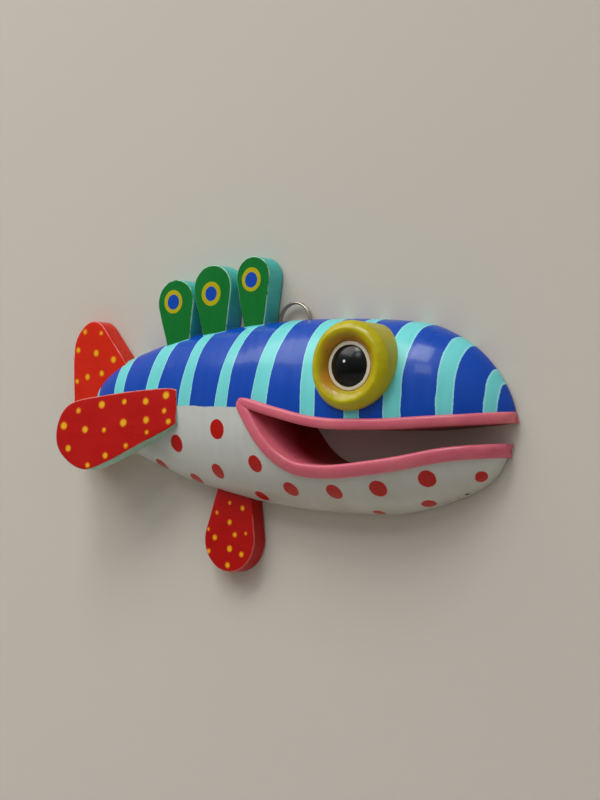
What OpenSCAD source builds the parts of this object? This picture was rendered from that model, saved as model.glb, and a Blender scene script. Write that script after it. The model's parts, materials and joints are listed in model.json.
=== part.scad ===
// Painted wooden fish wall hanging: carved half-round body, glued board fins, turned eye, ring on the back.
// Millimetres. +Z up, +X towards the nose, -Y out into the room. The flat back lies in the plane Y = 0.
// The origin is on the flat back, straight below the hanging ring, level with the edge of the belly paint.

/* [Body] */
// Fullness of the half-round section: 2 is an ellipse, more is squarer
fullness = 2.2; // [2:0.1:2.6]

/* [Fins] */
// Thickness of the three dorsal fins
dorsal_t = 16; // [12:1:18]
// Thickness of the tail fin
tail_t = 15; // [12:1:16]
// Thickness of the ventral fin
ventral_t = 13; // [11:1:15]
// Thickness of the pectoral fin
pectoral_t = 12; // [9:1:14]
// Angle at which the pectoral fin stands away from the wall
pectoral_splay = 8; // [4:1:12]
// Backward lean of the pectoral fin's face
pectoral_lean = 4; // [0:1:8]
// Diameter of the dowels that hold the fins
dowel_d = 6; // [5:0.5:7]

/* [Eye] */
// Outside radius of the eye ring
eye_r = 30.5; // [28:0.5:32]
// Turn of the eye towards the nose, which follows the flank
eye_turn = 3; // [0:1:6]
// Radius of the white of the eye
white_r = 17.2; // [16:0.1:18]
// Radius of the pupil
pupil_r = 14; // [12:0.5:15]

/* [Mouth] */
// Width of the upper lip
upper_lip_w = 7.2; // [6:0.2:9]
// Width of the lower lip
lower_lip_w = 9; // [8:0.5:10]
// How far the lips stand out from the face
lip_h = 3; // [2:0.5:4]
// Angle at which the mouth is sawn, so that its corner wall shows from the nose's side
mouth_slant = 20; // [0:1:22]

/* [Hanger] */
// Mean radius of the split ring
ring_r = 13.4; // [13:0.1:14.5]
// Wire diameter of the split ring
wire_d = 1.6; // [1.2:0.1:1.8]
// Depth of the pocket that is cut in the back for the ring
pocket_depth = 8; // [8:0.5:10]

/* [Hidden] */
$fn = 64;
far = 400;            // longer than anything it cuts
glue = 0.05;          // radial room for glue around a dowel

// Carved blank, station by station: distance along the fish, top edge, bottom edge, depth out of the wall
STATIONS = [
    [-191, 10, 6, 1], [-188.5, 19, -5, 9], [-181, 29.3, -15.5, 16.5], [-160, 39.8, -26.5, 23.5],
    [-130, 48.6, -38.5, 29], [-90, 56.5, -52.5, 34], [-45, 60, -64, 42], [0, 62, -71.5, 47],
    [45, 60.5, -75.5, 49], [85, 57.5, -76.5, 48], [113, 53.5, -73, 43], [133, 46, -68, 37],
    [152, 34.5, -61, 28], [166, 20.5, -52, 19], [175, 7, -38, 11], [179.5, -4, -28, 6],
    [181.5, -13, -18, 1]];
STATION_STEPS = 3;    // rings between two stations
SECTION_STEPS = 20;   // sides around the front of a section

// Edges of the sawn mouth where it leaves the flank, from its corner to beyond the nose
MOUTH_TOP = [[-9, -3], [6, -7], [22, -11], [41, -15.5], [62, -18.6], [82, -19.4], [105, -19.8],
             [128, -18.8], [150, -17.7], [166, -16.2], [200, -15]];
MOUTH_BOTTOM = [[-9, -3], [2, -19], [13, -31.5], [26, -39.5], [42, -42.5], [62, -43], [87, -41],
                [110, -38], [133, -33.5], [148, -31.5], [166, -30], [200, -29]];
MOUTH_STEPS = 4;      // points between two of those
MOUTH_FACE = -48;     // the plane in which those edges are drawn
LIP_END = [181.2, 176.8];        // where the upper and the lower lip reach the wall at the nose
LIP_STOPS = [16, 12, 8.5, 5.5, 3, 1.2, 0.3];  // rings round the nose, short of that end
LIP_TIP = [-11, 6.5]; // from the corner of the mouth to the joined tips of the lips
LIP_SINK = 2.5;       // how deep the lip blank reaches into the face before it is cut back
LIP_SIDES = 8;        // sides of the rounded face of a lip

// Board fins: centre of the round end, its radius, then middle, height and half width of the neck
DORSAL_REAR = [[-103, 80.5], 16.8, [-100.5, 42], 9];
DORSAL_MIDDLE = [[-67.6, 88.5], 17.2, [-65.5, 46], 8.7];
DORSAL_FRONT = [[-29.6, 94.3], 14.9, [-28.6, 50], 7.6];
VENTRAL = [[-53.5, -94.5], 23, [-48.5, -50], 13.5];
ROUND_STEPS = 32;     // sides of the round end of a board
TAIL = [[-207, 12], [-207.5, 44], [-204, 60], [-192, 70.5], [-180, 69], [-167, 54], [-154, 38],
        [-140, 20], [-142, -4], [-158, -18], [-176, -32], [-192, -35], [-203, -24], [-207, -8]];
TAIL_STEPS = 4;
// Pectoral fin in its own plane, from the middle of the end that meets the flank
PECTORAL = [[-3.3, 12.4], [-1.1, 8.6], [-0.7, -9.5], [-2.9, -13.6], [-23, -23.2], [-43, -32], [-62, -40.2],
            [-78, -44.8], [-92, -40.5], [-103, -31], [-107, -18], [-103, -3], [-92, 5.6],
            [-69, 9.3], [-44, 11.7], [-17, 13.3]];
PECTORAL_STEPS = 3;
PECTORAL_AT = [-84.5, -35.8, 2];
PECTORAL_DOWELS = [-12, -27];   // places along the fin

// Dowels stand half in the fin and half in the body
dowel_len = 24;
dorsal_seats = [55, 58, 60.5];  // height of the body's edge under each dorsal fin
ventral_seat = -61;
ventral_dowel_gap = 13;
tail_seat = -175;
tail_dowel_heights = [18, -2];

EYE_AT = [81, -50, 23.2];
eye_crest_r = 24.6;   // radius of the highest line of the ring
eye_crest = 6;        // height of that line over the ring's widest line
eye_floor = -3;       // floor of the dish that holds the white and the pupil
eye_side = 34;        // length of the ring's side before it is cut to the flank
white_t = 3;
pupil_h = 4.5;        // height of the pupil's dome over the white
pupil_spigot_r = 5;
peg_d = 8;
peg_len = 20;

HINGE_AT = [0, -4.2, 47.6];     // the ring turns in the loop about this line
loop_r = 3.8;
loop_hole_r = 2.8;
loop_w = 8;
plate_t = 1;
plate_w = 26;
plate_h = 12;
plate_top = 43;
screw_d = 3;
screw_len = 15;
screw_head_d = 6;
screw_head_h = 1.6;
screw_gap = 15;
pocket_w = 35;
pocket_bottom = 28;

body_blue = [0.10, 0.25, 0.62];
lip_pink = [0.75, 0.35, 0.42];
fin_red = [0.72, 0.06, 0.04];
fin_green = [0.02, 0.40, 0.13];
eye_yellow = [0.75, 0.70, 0.05];
bare_wood = [0.80, 0.65, 0.45];
bare_steel = [0.72, 0.72, 0.70];

// ---- curves ----

// A point on the smooth curve between b and c, with a and d as their neighbours
function between(a, b, c, d, t) =
    0.5 * (2 * b + (c - a) * t + (2 * a - 5 * b + 4 * c - d) * t * t + (3 * b - a - 3 * c + d) * t * t * t);

// Smooth curve through the rows, open at both ends, with n steps a row
function through(rows, n) =
    let (last = len(rows) - 1)
    concat([for (i = [0 : last - 1], k = [0 : n - 1])
        between(i > 0 ? rows[i - 1] : 2 * rows[0] - rows[1], rows[i], rows[i + 1],
                i < last - 1 ? rows[i + 2] : 2 * rows[last] - rows[last - 1], k / n)],
        [rows[last]]);

// Smooth closed outline through the rows
function around(rows, n) =
    let (m = len(rows))
    [for (i = [0 : m - 1], k = [0 : n - 1])
        between(rows[(i + m - 1) % m], rows[i], rows[(i + 1) % m], rows[(i + 2) % m], k / n)];

function reversed(list) = [for (i = [len(list) - 1 : -1 : 0]) list[i]];

// Triangles that join rings of equal length and close both ends; the rings turn right-handed about their path
function skin_faces(rings, sides) = concat(
    [for (i = [0 : rings - 2], j = [0 : sides - 1], half = [0, 1])
        let (a = i * sides + j, b = i * sides + (j + 1) % sides)
        half == 0 ? [b, a, a + sides] : [b + sides, b, a + sides]],
    [for (j = [1 : sides - 2]) [0, j, j + 1]],
    [for (j = [1 : sides - 2]) (rings - 1) * sides * [1, 1, 1] + [0, j + 1, j]]);

// ---- carved body ----

stations = through(STATIONS, STATION_STEPS);
function top_at(x) = lookup(x, [for (s = stations) [s[0], s[1]]]);
function bottom_at(x) = lookup(x, [for (s = stations) [s[0], s[2]]]);
function depth_at(x) = lookup(x, [for (s = stations) [s[0], s[3]]]);

// How far the face stands out of the wall at a place on the fish
function face_at(x, z) =
    let (middle = (top_at(x) + bottom_at(x)) / 2,
         half = (top_at(x) - bottom_at(x)) / 2,
         t = min(1, abs(z - middle) / half))
    -depth_at(x) * pow(1 - pow(t, fullness), 1 / fullness);

// One section: a half superellipse from the top edge round the front to the bottom edge
function section(s) =
    let (middle = (s[1] + s[2]) / 2, half = (s[1] - s[2]) / 2)
    [for (k = [0 : SECTION_STEPS])
        let (a = 180 * k / SECTION_STEPS,
             up = k == SECTION_STEPS / 2 ? 0 : sign(cos(a)) * pow(abs(cos(a)), 2 / fullness),
             out = k == 0 || k == SECTION_STEPS ? 0 : pow(sin(a), 2 / fullness))
        [s[0], -s[3] * out, middle + half * up]];

module blank() {
    polyhedron([for (s = stations) each section(s)], skin_faces(len(stations), SECTION_STEPS + 1));
}

// Sawn straight through at a slant: the cut keeps its outline in the plane MOUTH_FACE
module mouth_saw() {
    top = through(MOUTH_TOP, MOUTH_STEPS);
    bottom = through(MOUTH_BOTTOM, MOUTH_STEPS);
    outline = concat(top, [for (i = [len(bottom) - 1 : -1 : 1]) bottom[i]]);
    translate([0, MOUTH_FACE, 0])
        rotate([90, 0, -mouth_slant])
            linear_extrude(far, center = true)
                polygon([for (p = outline) [p[0] * cos(mouth_slant), p[1]]]);
}

module hanger_pocket() {
    translate([-pocket_w / 2, -pocket_depth, pocket_bottom])
        cube([pocket_w, pocket_depth + 1, far]);
}

module body() {
    color(body_blue)
        difference() {
            blank();
            mouth_saw();
            hanger_pocket();
            all_dowels(glue);
            place_eye() peg(glue);
            screw_shanks(glue);
        }
}

// ---- lips ----

// The edge of the mouth on the face: along its drawn curve, then at the stops round the nose
function mouth_edge(edge, end) =
    let (curve = through(edge, 3),
         back = tan(mouth_slant),
         level = edge[9][1],
         flank = [for (p = curve)
             let (q = [p[0] + (face_at(min(p[0], end), p[1]) - MOUTH_FACE) * back, p[1]])
             if (q[0] < end - LIP_STOPS[0] - 3) q])
    concat(flank, [for (stop = LIP_STOPS)
        let (x = end - stop)
        [x, lookup(x + (MOUTH_FACE - face_at(x, level)) * back, curve)]]);

// Middle line of a lip: the edge of the mouth moved away from the opening by half the lip's width
function lip_line(edge, side, end, width) =
    let (line = mouth_edge(edge, end),
         last = len(line) - 1)
    concat([line[0] + LIP_TIP],
        [for (i = [0 : last])
            let (along = line[min(i + 1, last)] - line[max(i - 1, 0)])
            line[i] + side * [-along[1], along[0]] / norm(along) * width / 2]);

function unit(v) = v / norm(v);
function on_face(p) = [p[0], face_at(p[0], p[1]), p[1]];
function out_of_face(p) =
    let (step = 1,
         along = on_face(p + [step, 0]) - on_face(p - [step, 0]),
         up = on_face(p + [0, step]) - on_face(p - [0, step]))
    unit(cross(along, up));

// One ring of the lip: a flat half oval over the face and two corners sunk into it. The lip is
// narrower at its tip and flatter where it ends at the nose.
function lip_ring(line, i, width) =
    let (last = len(line) - 1,
         here = on_face(line[i]),
         ahead = on_face(line[min(i + 1, last)]),
         behind = on_face(line[max(i - 1, 0)]),
         normal = out_of_face(line[i]),
         across = unit(cross(ahead - behind, normal)),
         wide = width / 2 * min(1, 0.75 + 0.08 * i),
         high = lip_h * min(1, 0.3 + 0.12 * (last - i), 0.75 + 0.08 * i))
    concat([for (k = [0 : LIP_SIDES])
        let (a = 180 * k / LIP_SIDES)
        here + across * wide * cos(a) + normal * high * sin(a)],
        [here - across * wide - normal * LIP_SINK, here + across * wide - normal * LIP_SINK]);

module lip_blank(edge, side, end, width) {
    line = lip_line(edge, side, end, width);
    polyhedron([for (i = [0 : len(line) - 1]) each reversed(lip_ring(line, i, width))],
               skin_faces(len(line), LIP_SIDES + 3));
}

module upper_lip_blank() {
    lip_blank(MOUTH_TOP, 1, LIP_END[0], upper_lip_w);
}

// Everything behind the plane of the flat back
module wall() {
    translate([-far / 2, 0, -far / 2])
        cube(far);
}

module upper_lip() {
    color(lip_pink)
        difference() {
            upper_lip_blank();
            blank();
            mouth_saw();
            wall();
        }
}

module lower_lip() {
    color(lip_pink)
        difference() {
            lip_blank(MOUTH_BOTTOM, -1, LIP_END[1], lower_lip_w);
            blank();
            mouth_saw();
            wall();
            upper_lip_blank();
        }
}

// ---- board fins ----

// Stands an outline drawn in x and height upright, from the wall out to thickness t
module stand(t) {
    rotate([90, 0, 0])
        linear_extrude(t)
            children();
}

// Teardrop board: a round end and the two straight sides that touch it and run to the neck
module teardrop(fin) {
    middle = fin[0];
    r = fin[1];
    neck = [for (s = [-1, 1]) fin[2] + [s * fin[3], 0] - middle];
    turn = middle[1] > fin[2][1] ? 1 : -1;
    touch = [for (s = [0, 1]) atan2(neck[s][1], neck[s][0]) + turn * (2 * s - 1) * acos(r / norm(neck[s]))];
    sweep = touch[0] + turn * 360 - touch[1];
    translate(middle)
        polygon(concat([neck[1]],
            [for (k = [0 : ROUND_STEPS])
                let (a = touch[1] + sweep * k / ROUND_STEPS)
                r * [cos(a), sin(a)]],
            [neck[0]]));
}

module dorsal_fin(k) {
    fin = [DORSAL_REAR, DORSAL_MIDDLE, DORSAL_FRONT][k];
    color(fin_green)
        difference() {
            stand(dorsal_t) teardrop(fin);
            blank();
            dorsal_dowel(k, glue);
        }
}

module ventral_fin() {
    color(fin_red)
        difference() {
            stand(ventral_t) teardrop(VENTRAL);
            blank();
            ventral_dowel_pair(glue);
        }
}

module tail_fin() {
    color(fin_red)
        difference() {
            stand(tail_t) polygon(around(TAIL, TAIL_STEPS));
            blank();
            tail_dowel_pair(glue);
        }
}

// Moves a thing from the pectoral fin's own plane to its place: local +Z comes out of its painted face
module place_pectoral() {
    translate(PECTORAL_AT)
        rotate([0, 0, pectoral_splay])
            rotate([90 - pectoral_lean, 0, 0])
                children();
}

module pectoral_fin() {
    color(fin_red)
        difference() {
            place_pectoral()
                translate([0, 0, -pectoral_t])
                    linear_extrude(pectoral_t)
                        polygon(around(PECTORAL, PECTORAL_STEPS));
            blank();
            pectoral_dowel_pair(glue);
        }
}

// ---- dowels ----

module dowel(length, room) {
    translate([0, 0, -length / 2 - room])
        cylinder(h = length + 2 * room, d = dowel_d + 2 * room);
}

module dorsal_dowel(k, room) {
    neck = [DORSAL_REAR, DORSAL_MIDDLE, DORSAL_FRONT][k][2];
    translate([neck[0], -dorsal_t / 2, dorsal_seats[k]])
        dowel(dowel_len, room);
}

module ventral_dowel_pair(room) {
    for (s = [-1, 1])
        translate([VENTRAL[2][0] + s * ventral_dowel_gap / 2, -ventral_t / 2, ventral_seat])
            dowel(dowel_len, room);
}

module tail_dowel_pair(room) {
    for (z = tail_dowel_heights)
        translate([tail_seat, -tail_t / 2, z])
            rotate([0, 90, 0])
                dowel(dowel_len, room);
}

module pectoral_dowel_pair(room) {
    length = 2 * (pectoral_t - 5);
    place_pectoral()
        for (x = PECTORAL_DOWELS)
            translate([x, 0, -pectoral_t])
                dowel(length, room);
}

module all_dowels(room) {
    for (k = [0 : 2])
        dorsal_dowel(k, room);
    ventral_dowel_pair(room);
    tail_dowel_pair(room);
    pectoral_dowel_pair(room);
}

module dorsal_dowels() {
    color(bare_wood)
        for (k = [0 : 2])
            dorsal_dowel(k, 0);
}

module ventral_dowels() {
    color(bare_wood)
        ventral_dowel_pair(0);
}

module tail_dowels() {
    color(bare_wood)
        tail_dowel_pair(0);
}

module pectoral_dowels() {
    color(bare_wood)
        pectoral_dowel_pair(0);
}

// ---- eye ----

// Moves a thing from the eye's own axis to its place: local +Z looks out of the eye
module place_eye() {
    translate(EYE_AT)
        rotate([90, 0, eye_turn])
            children();
}

module peg(room) {
    translate([0, 0, eye_floor - 1 - peg_len - room])
        cylinder(h = peg_len + 2 * room, d = peg_d + 2 * room);
}

// Turned ring: a round rim over a dish, with a straight side that is cut to the flank
module eye_ring() {
    rim = [for (k = [0 : 12])
        let (a = 90 * k / 12)
        [eye_crest_r + (eye_r - eye_crest_r) * cos(a), eye_crest * sin(a)]];
    bowl = [for (k = [1 : 8])
        let (a = 90 * k / 8)
        [eye_crest_r - (eye_crest_r - white_r - glue) * sin(a), eye_crest * cos(a)]];
    color(eye_yellow)
        difference() {
            place_eye()
                rotate_extrude($fn = 128)
                    polygon(concat([[0, -eye_side], [eye_r, -eye_side]], rim, bowl,
                                   [[white_r + glue, eye_floor], [0, eye_floor]]));
            blank();
            place_eye() peg(glue);
        }
}

module eye_white() {
    color("ivory")
        place_eye()
            difference() {
                translate([0, 0, eye_floor])
                    cylinder(h = white_t, r = white_r);
                translate([0, 0, eye_floor - 1])
                    cylinder(h = white_t + 2, r = pupil_spigot_r + glue);
            }
}

// Pupil: a ball cut to a shallow dome, on a spigot that sits in the white
module eye_pupil() {
    ball_r = (pupil_r * pupil_r + pupil_h * pupil_h) / (2 * pupil_h);
    dome_at = eye_floor + white_t;
    color([0.03, 0.03, 0.03])
        place_eye() {
            translate([0, 0, dome_at])
                intersection() {
                    translate([0, 0, pupil_h - ball_r])
                        sphere(r = ball_r, $fn = 96);
                    cylinder(h = pupil_h + 1, r = pupil_r);
                }
            translate([0, 0, eye_floor])
                cylinder(h = white_t, r = pupil_spigot_r);
        }
}

module eye_peg() {
    color(bare_wood)
        place_eye()
            peg(0);
}

// ---- hanger ----

module at_screws() {
    for (s = [-1, 1])
        translate([s * screw_gap / 2, -pocket_depth, plate_top - plate_h / 2])
            rotate([90, 0, 0])
                children();
}

// The screws' shanks run into the body from the pocket's floor; their heads stand in the pocket
module screw_shanks(room) {
    at_screws()
        translate([0, 0, -plate_t])
            cylinder(h = screw_len + room, d = screw_d + 2 * room);
}

module hanger_screws() {
    color(bare_steel) {
        screw_shanks(0);
        at_screws()
            translate([0, 0, -plate_t - screw_head_h])
                cylinder(h = screw_head_h, d = screw_head_d);
    }
}

// Steel plate with a tongue that is rolled into a loop for the ring
module hanger_plate() {
    color(bare_steel)
        difference() {
            union() {
                translate([-plate_w / 2, -pocket_depth, plate_top - plate_h])
                    cube([plate_w, plate_t, plate_h]);
                translate([-loop_w / 2, -pocket_depth, plate_top - 1])
                    cube([loop_w, plate_t, HINGE_AT[2] - plate_top + 1]);
                translate(HINGE_AT)
                    rotate([0, 90, 0])
                        cylinder(h = loop_w, r = loop_r, center = true);
            }
            translate(HINGE_AT)
                rotate([0, 90, 0])
                    cylinder(h = loop_w + 2, r = loop_hole_r, center = true);
            screw_shanks(glue);
        }
}

// Split ring: two turns of wire that lie side by side
module hanging_ring() {
    color(bare_steel)
        translate(HINGE_AT + [0, 0, ring_r])
            rotate([90, 0, 0])
                rotate_extrude($fn = 96)
                    translate([ring_r, 0])
                        for (s = [-1, 1])
                            translate([0, s * wire_d * 0.45])
                                circle(d = wire_d, $fn = 32);
}

body();
upper_lip();
lower_lip();
tail_fin();
ventral_fin();
pectoral_fin();
dorsal_fin(0);  // dorsal_fin_rear
dorsal_fin(1);  // dorsal_fin_middle
dorsal_fin(2);  // dorsal_fin_front
eye_ring();
eye_white();
eye_pupil();
eye_peg();
dorsal_dowels();
ventral_dowels();
tail_dowels();
pectoral_dowels();
hanger_plate();
hanger_screws();
hanging_ring();
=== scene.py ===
"""Painted wooden fish wall hanging: the carved, brushed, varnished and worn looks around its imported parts.

Everything is in metres and in the frame of the parts: +X towards the nose, +Z up, -Y out into the room,
with the flat back of the fish in the plane Y = 0. A piece is one or more grids of points worked out with
numpy. Each grid is a closed tube: its columns go round the piece, and its first and last rows end in a point.
"""

import json
import math

import bmesh
import bpy
import numpy as np
from bpy.props import FloatProperty, FloatVectorProperty, PointerProperty
from bpy.types import Operator, Panel, PropertyGroup
from mathutils import Matrix, Vector


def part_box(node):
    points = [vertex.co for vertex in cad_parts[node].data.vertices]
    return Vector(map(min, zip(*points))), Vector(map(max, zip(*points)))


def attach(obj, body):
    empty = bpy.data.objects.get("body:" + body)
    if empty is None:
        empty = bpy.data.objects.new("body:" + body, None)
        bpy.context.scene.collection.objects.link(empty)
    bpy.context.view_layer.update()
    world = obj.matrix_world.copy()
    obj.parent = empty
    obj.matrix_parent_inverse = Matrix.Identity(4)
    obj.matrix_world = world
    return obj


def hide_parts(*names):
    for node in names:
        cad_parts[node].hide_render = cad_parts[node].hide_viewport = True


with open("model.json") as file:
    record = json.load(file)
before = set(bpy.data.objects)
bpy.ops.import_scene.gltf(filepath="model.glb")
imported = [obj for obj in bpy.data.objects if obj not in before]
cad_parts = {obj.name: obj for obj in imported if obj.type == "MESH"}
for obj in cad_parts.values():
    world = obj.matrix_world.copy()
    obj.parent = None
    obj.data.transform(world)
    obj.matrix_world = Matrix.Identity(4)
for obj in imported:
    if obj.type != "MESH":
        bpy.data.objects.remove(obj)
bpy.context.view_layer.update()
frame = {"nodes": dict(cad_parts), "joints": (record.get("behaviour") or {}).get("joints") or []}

bl_info = {
    "name": "Painted Fish Wall Hanging",
    "version": (1, 0, 0),
    "blender": (4, 5, 0),
    "location": "View3D > Sidebar > Fish",
    "description": "Carved and painted wooden fish with board fins, a turned eye and a hanging ring",
    "category": "Add Mesh",
}

MM = 0.001
FISH = "fish"
RING = "ring"

# Carved blank, station by station: distance along the fish, top edge, bottom edge, depth out of the wall
STATIONS = MM * np.array([
    [-191, 10, 6, 1], [-188.5, 19, -5, 9], [-181, 29.3, -15.5, 16.5], [-160, 39.8, -26.5, 23.5],
    [-130, 48.6, -38.5, 29], [-90, 56.5, -52.5, 34], [-45, 60, -64, 42], [0, 62, -71.5, 47],
    [45, 60.5, -75.5, 49], [85, 57.5, -76.5, 48], [113, 53.5, -73, 43], [133, 46, -68, 37],
    [152, 34.5, -61, 28], [166, 20.5, -52, 19], [175, 7, -38, 11], [179.5, -4, -28, 6],
    [181.5, -13, -18, 1]])
BACK_EDGE = 1.2 * MM          # rounding where the carved face meets the flat back

# Edges of the sawn mouth, in x and height, where the saw passes the plane SAW_FACE
MOUTH_TOP = MM * np.array([
    [-9, -3], [6, -7], [22, -11], [41, -15.5], [62, -18.6], [82, -19.4], [105, -19.8],
    [128, -18.8], [150, -17.7], [166, -16.2], [200, -15]])
MOUTH_BOTTOM = MM * np.array([
    [-9, -3], [2, -19], [13, -31.5], [26, -39.5], [42, -42.5], [62, -43], [87, -41],
    [110, -38], [133, -33.5], [148, -31.5], [166, -30], [200, -29]])
SAW_FACE = -48 * MM
SAW_SLANT = math.radians(20)
UPPER_NOSE = 181.2 * MM       # where the upper lip reaches the wall
LOWER_NOSE = 176.8 * MM
NOSE_ROW = 9                  # row of the mouth's edges whose height stands for the stretch round the nose
LIP_FULLNESS = 2.6            # of the lips' half-round section
LIP_TIP = MM * np.array([-11, 6.5])  # from the corner of the mouth to the joined tips of the lips

# Board fins: centre of the round end, its radius, then middle, height and half width of the neck
DORSALS = {
    "dorsal_fin_rear": (MM * np.array([-103, 80.5]), 16.8 * MM, MM * np.array([-100.5, 42]), 9 * MM),
    "dorsal_fin_middle": (MM * np.array([-67.6, 88.5]), 17.2 * MM, MM * np.array([-65.5, 46]), 8.7 * MM),
    "dorsal_fin_front": (MM * np.array([-29.6, 94.3]), 14.9 * MM, MM * np.array([-28.6, 50]), 7.6 * MM)}
VENTRAL = (MM * np.array([-53.5, -94.5]), 23 * MM, MM * np.array([-48.5, -50]), 13.5 * MM)
TAIL = MM * np.array([
    [-207, 12], [-207.5, 44], [-204, 60], [-192, 70.5], [-180, 69], [-167, 54], [-154, 38],
    [-140, 20], [-142, -4], [-158, -18], [-176, -32], [-192, -35], [-203, -24], [-207, -8]])
TAIL_MIDDLE = MM * np.array([-178, 16])
# Pectoral fin in its own plane, from the middle of the end that meets the flank
PECTORAL = MM * np.array([
    [-3.3, 12.4], [-1.1, 8.6], [-0.7, -9.5], [-2.9, -13.6], [-23, -23.2], [-43, -32], [-62, -40.2],
    [-78, -44.8], [-92, -40.5], [-103, -31], [-107, -18], [-103, -3], [-92, 5.6],
    [-69, 9.3], [-44, 11.7], [-17, 13.3]])
PECTORAL_MIDDLE = MM * np.array([-60, -14])
PECTORAL_AT = MM * np.array([-84.5, -35.8, 2])
PECTORAL_SPLAY = 8
PECTORAL_LEAN = 4

EYE_AT = MM * np.array([81, -50, 23.2])
EYE_TURN = 3
RING_FOOT = -40 * MM          # how deep the ring is let into the body
DISH_FLOOR = -3 * MM
DISH_CREST = MM * np.array([24.8, 6])   # radius and height of the ring's highest line
RIM_FULLNESS = 1.5            # 2 would round the rim as an ellipse, 1 would leave two flat slopes

# Painted marks, listed one by one as the painter placed them: stripes as start and end at the belly line,
# then at the back
BELLY_LINE = -2 * MM
BACK_LINE = 60 * MM
STRIPES = MM * np.array([
    [-195, -178.5, -195, -178.5], [-158, -147, -155, -142], [-123, -111, -113, -97], [-85, -72, -75, -64],
    [-44, -31, -33, -24], [-8, 8, 1, 14], [38, 51, 36, 50], [75, 87, 70, 80],
    [104.5, 117, 104, 118], [139.3, 150, 139.3, 150], [166.3, 173.3, 166.3, 173.3]])
BELLY_DOTS = MM * np.array([  # a place and a radius each
    [-41.5, -42, -16, 7.1], [-88, -30, -24.5, 6.9], [-8, -40, -41, 6.3], [-49, -30, -45, 6.4],
    [-116, -13, -37, 6.8], [-81, -15, -49, 6.4], [-16, -21, -63, 5.6], [18, -32, -59, 6.2],
    [56, -33, -61, 6.2], [93, -33, -59, 6.4], [129, -28, -53, 6.5], [120, -13, -69, 5.2],
    [79, -13, -75, 4.6], [161, -12, -52, 4.6]])
CHIPS = MM * np.array([
    [148, -16, 36, 1.5], [168, -7, 24, 1.7], [171, -3, 19, 1.6], [133, -7, -67, 1.4], [139, -6, -66, 1.2],
    [146, -6, -63, 1.5], [-152, -7, 42, 1.2], [-172, -12, -14, 1.3]])
VENTRAL_DOTS = MM * np.array([
    [-53, -68, 1.4], [-41, -72, 2.2], [-65, -75, 2.0], [-53, -82, 2.2], [-73, -87, 1.5],
    [-48, -91, 2.2], [-38, -90, 1.7], [-67, -93, 2.2], [-73, -103, 2.1], [-53, -101, 2.2],
    [-42, -105, 2.0], [-55, -113, 2.1]])
TAIL_DOTS = MM * np.array([
    [-196, 64, 2.6], [-179, 62, 1.7], [-203, 50, 2.3], [-184, 47, 2.8], [-166, 41, 2.9],
    [-178, 31, 2.4], [-193, 29, 2.6], [-204, 26, 2.1], [-200, 8, 2.6], [-186, 10, 2.4],
    [-193, -10, 2.6], [-201, -22, 2.2], [-180, -18, 2.6]])
PECTORAL_DOTS = MM * np.array([
    [-9.5, 8.4, 3.2], [-27, 4.5, 2.8], [-46, 4.7, 2.1], [-66, 2.9, 3.1], [-87, -1, 2.6],
    [-100, -12, 3.1], [-80, -15.3, 3.0], [-63, -16, 1.8], [-46, -11, 3.1], [-26, -9.4, 3.0],
    [-10.6, -3, 2.2], [-6.6, -11, 2.3], [-25, -18.5, 2.0], [-43, -28, 2.4], [-61, -35, 2.3],
    [-76.5, -42, 2.2], [-95, -29, 2.6]])
TAIL_SIDE_DOT = MM * np.array([[-162.5, -2, 49.2, 2.4]])
DORSAL_DOTS = {
    "dorsal_fin_rear": MM * np.array([-105, -16, 81]),
    "dorsal_fin_middle": MM * np.array([-68.5, -16, 84.7]),
    "dorsal_fin_front": MM * np.array([-30.8, -16, 92.3])}

# Hanger, which hides in a pocket in the back
POCKET_DEPTH = 8 * MM
POCKET_HALF = 17.5 * MM
POCKET_BOTTOM = 28 * MM
POCKET_CORNER = 3 * MM
POCKET_TOP = 90 * MM                    # past the body's upper edge, so that the pocket is open there
PLATE = MM * np.array([13, 6, 37])      # half width, half height, height of the middle
PLATE_THICK = 1 * MM
TONGUE_HALF = 4 * MM
TONGUE_REACH = 3.3 * MM                 # from the hinge line to the middle of the rolled tongue
TONGUE_START = 40 * MM                  # height at which the tongue leaves the plate
SCREWS = MM * np.array([[-7.5, 37], [7.5, 37]])
SCREW_LENGTH = 14 * MM
THREADS = 14

# Stage
STAGE_COLOR = (0.74, 0.70, 0.63, 1)
STAGE_REACH = 4.0
STAGE_TOP = 3.0
STAGE_FLOOR = -1.6
WALL_GAP = 0.8 * MM                     # between the flat back and the wall


def linear(red, green, blue):
    """A colour given from 0 to 255, as Blender's linear values."""
    share = np.array([red, green, blue]) / 255
    straight = np.where(share <= 0.04045, share / 12.92, ((share + 0.055) / 1.055) ** 2.4)
    return (*straight.tolist(), 1.0)


def depth_of(node):
    """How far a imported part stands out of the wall."""
    return -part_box(node)[0].y


def paint(name, description, *rgb):
    """A colour property."""
    return FloatVectorProperty(name=name, description=description, default=linear(*rgb),
                               subtype="COLOR", size=4, min=0, max=1)


def length(name, description, default):
    """A size property in metres."""
    return FloatProperty(name=name, description=description, default=default, min=0,
                         unit="LENGTH", subtype="DISTANCE", precision=4)


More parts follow.
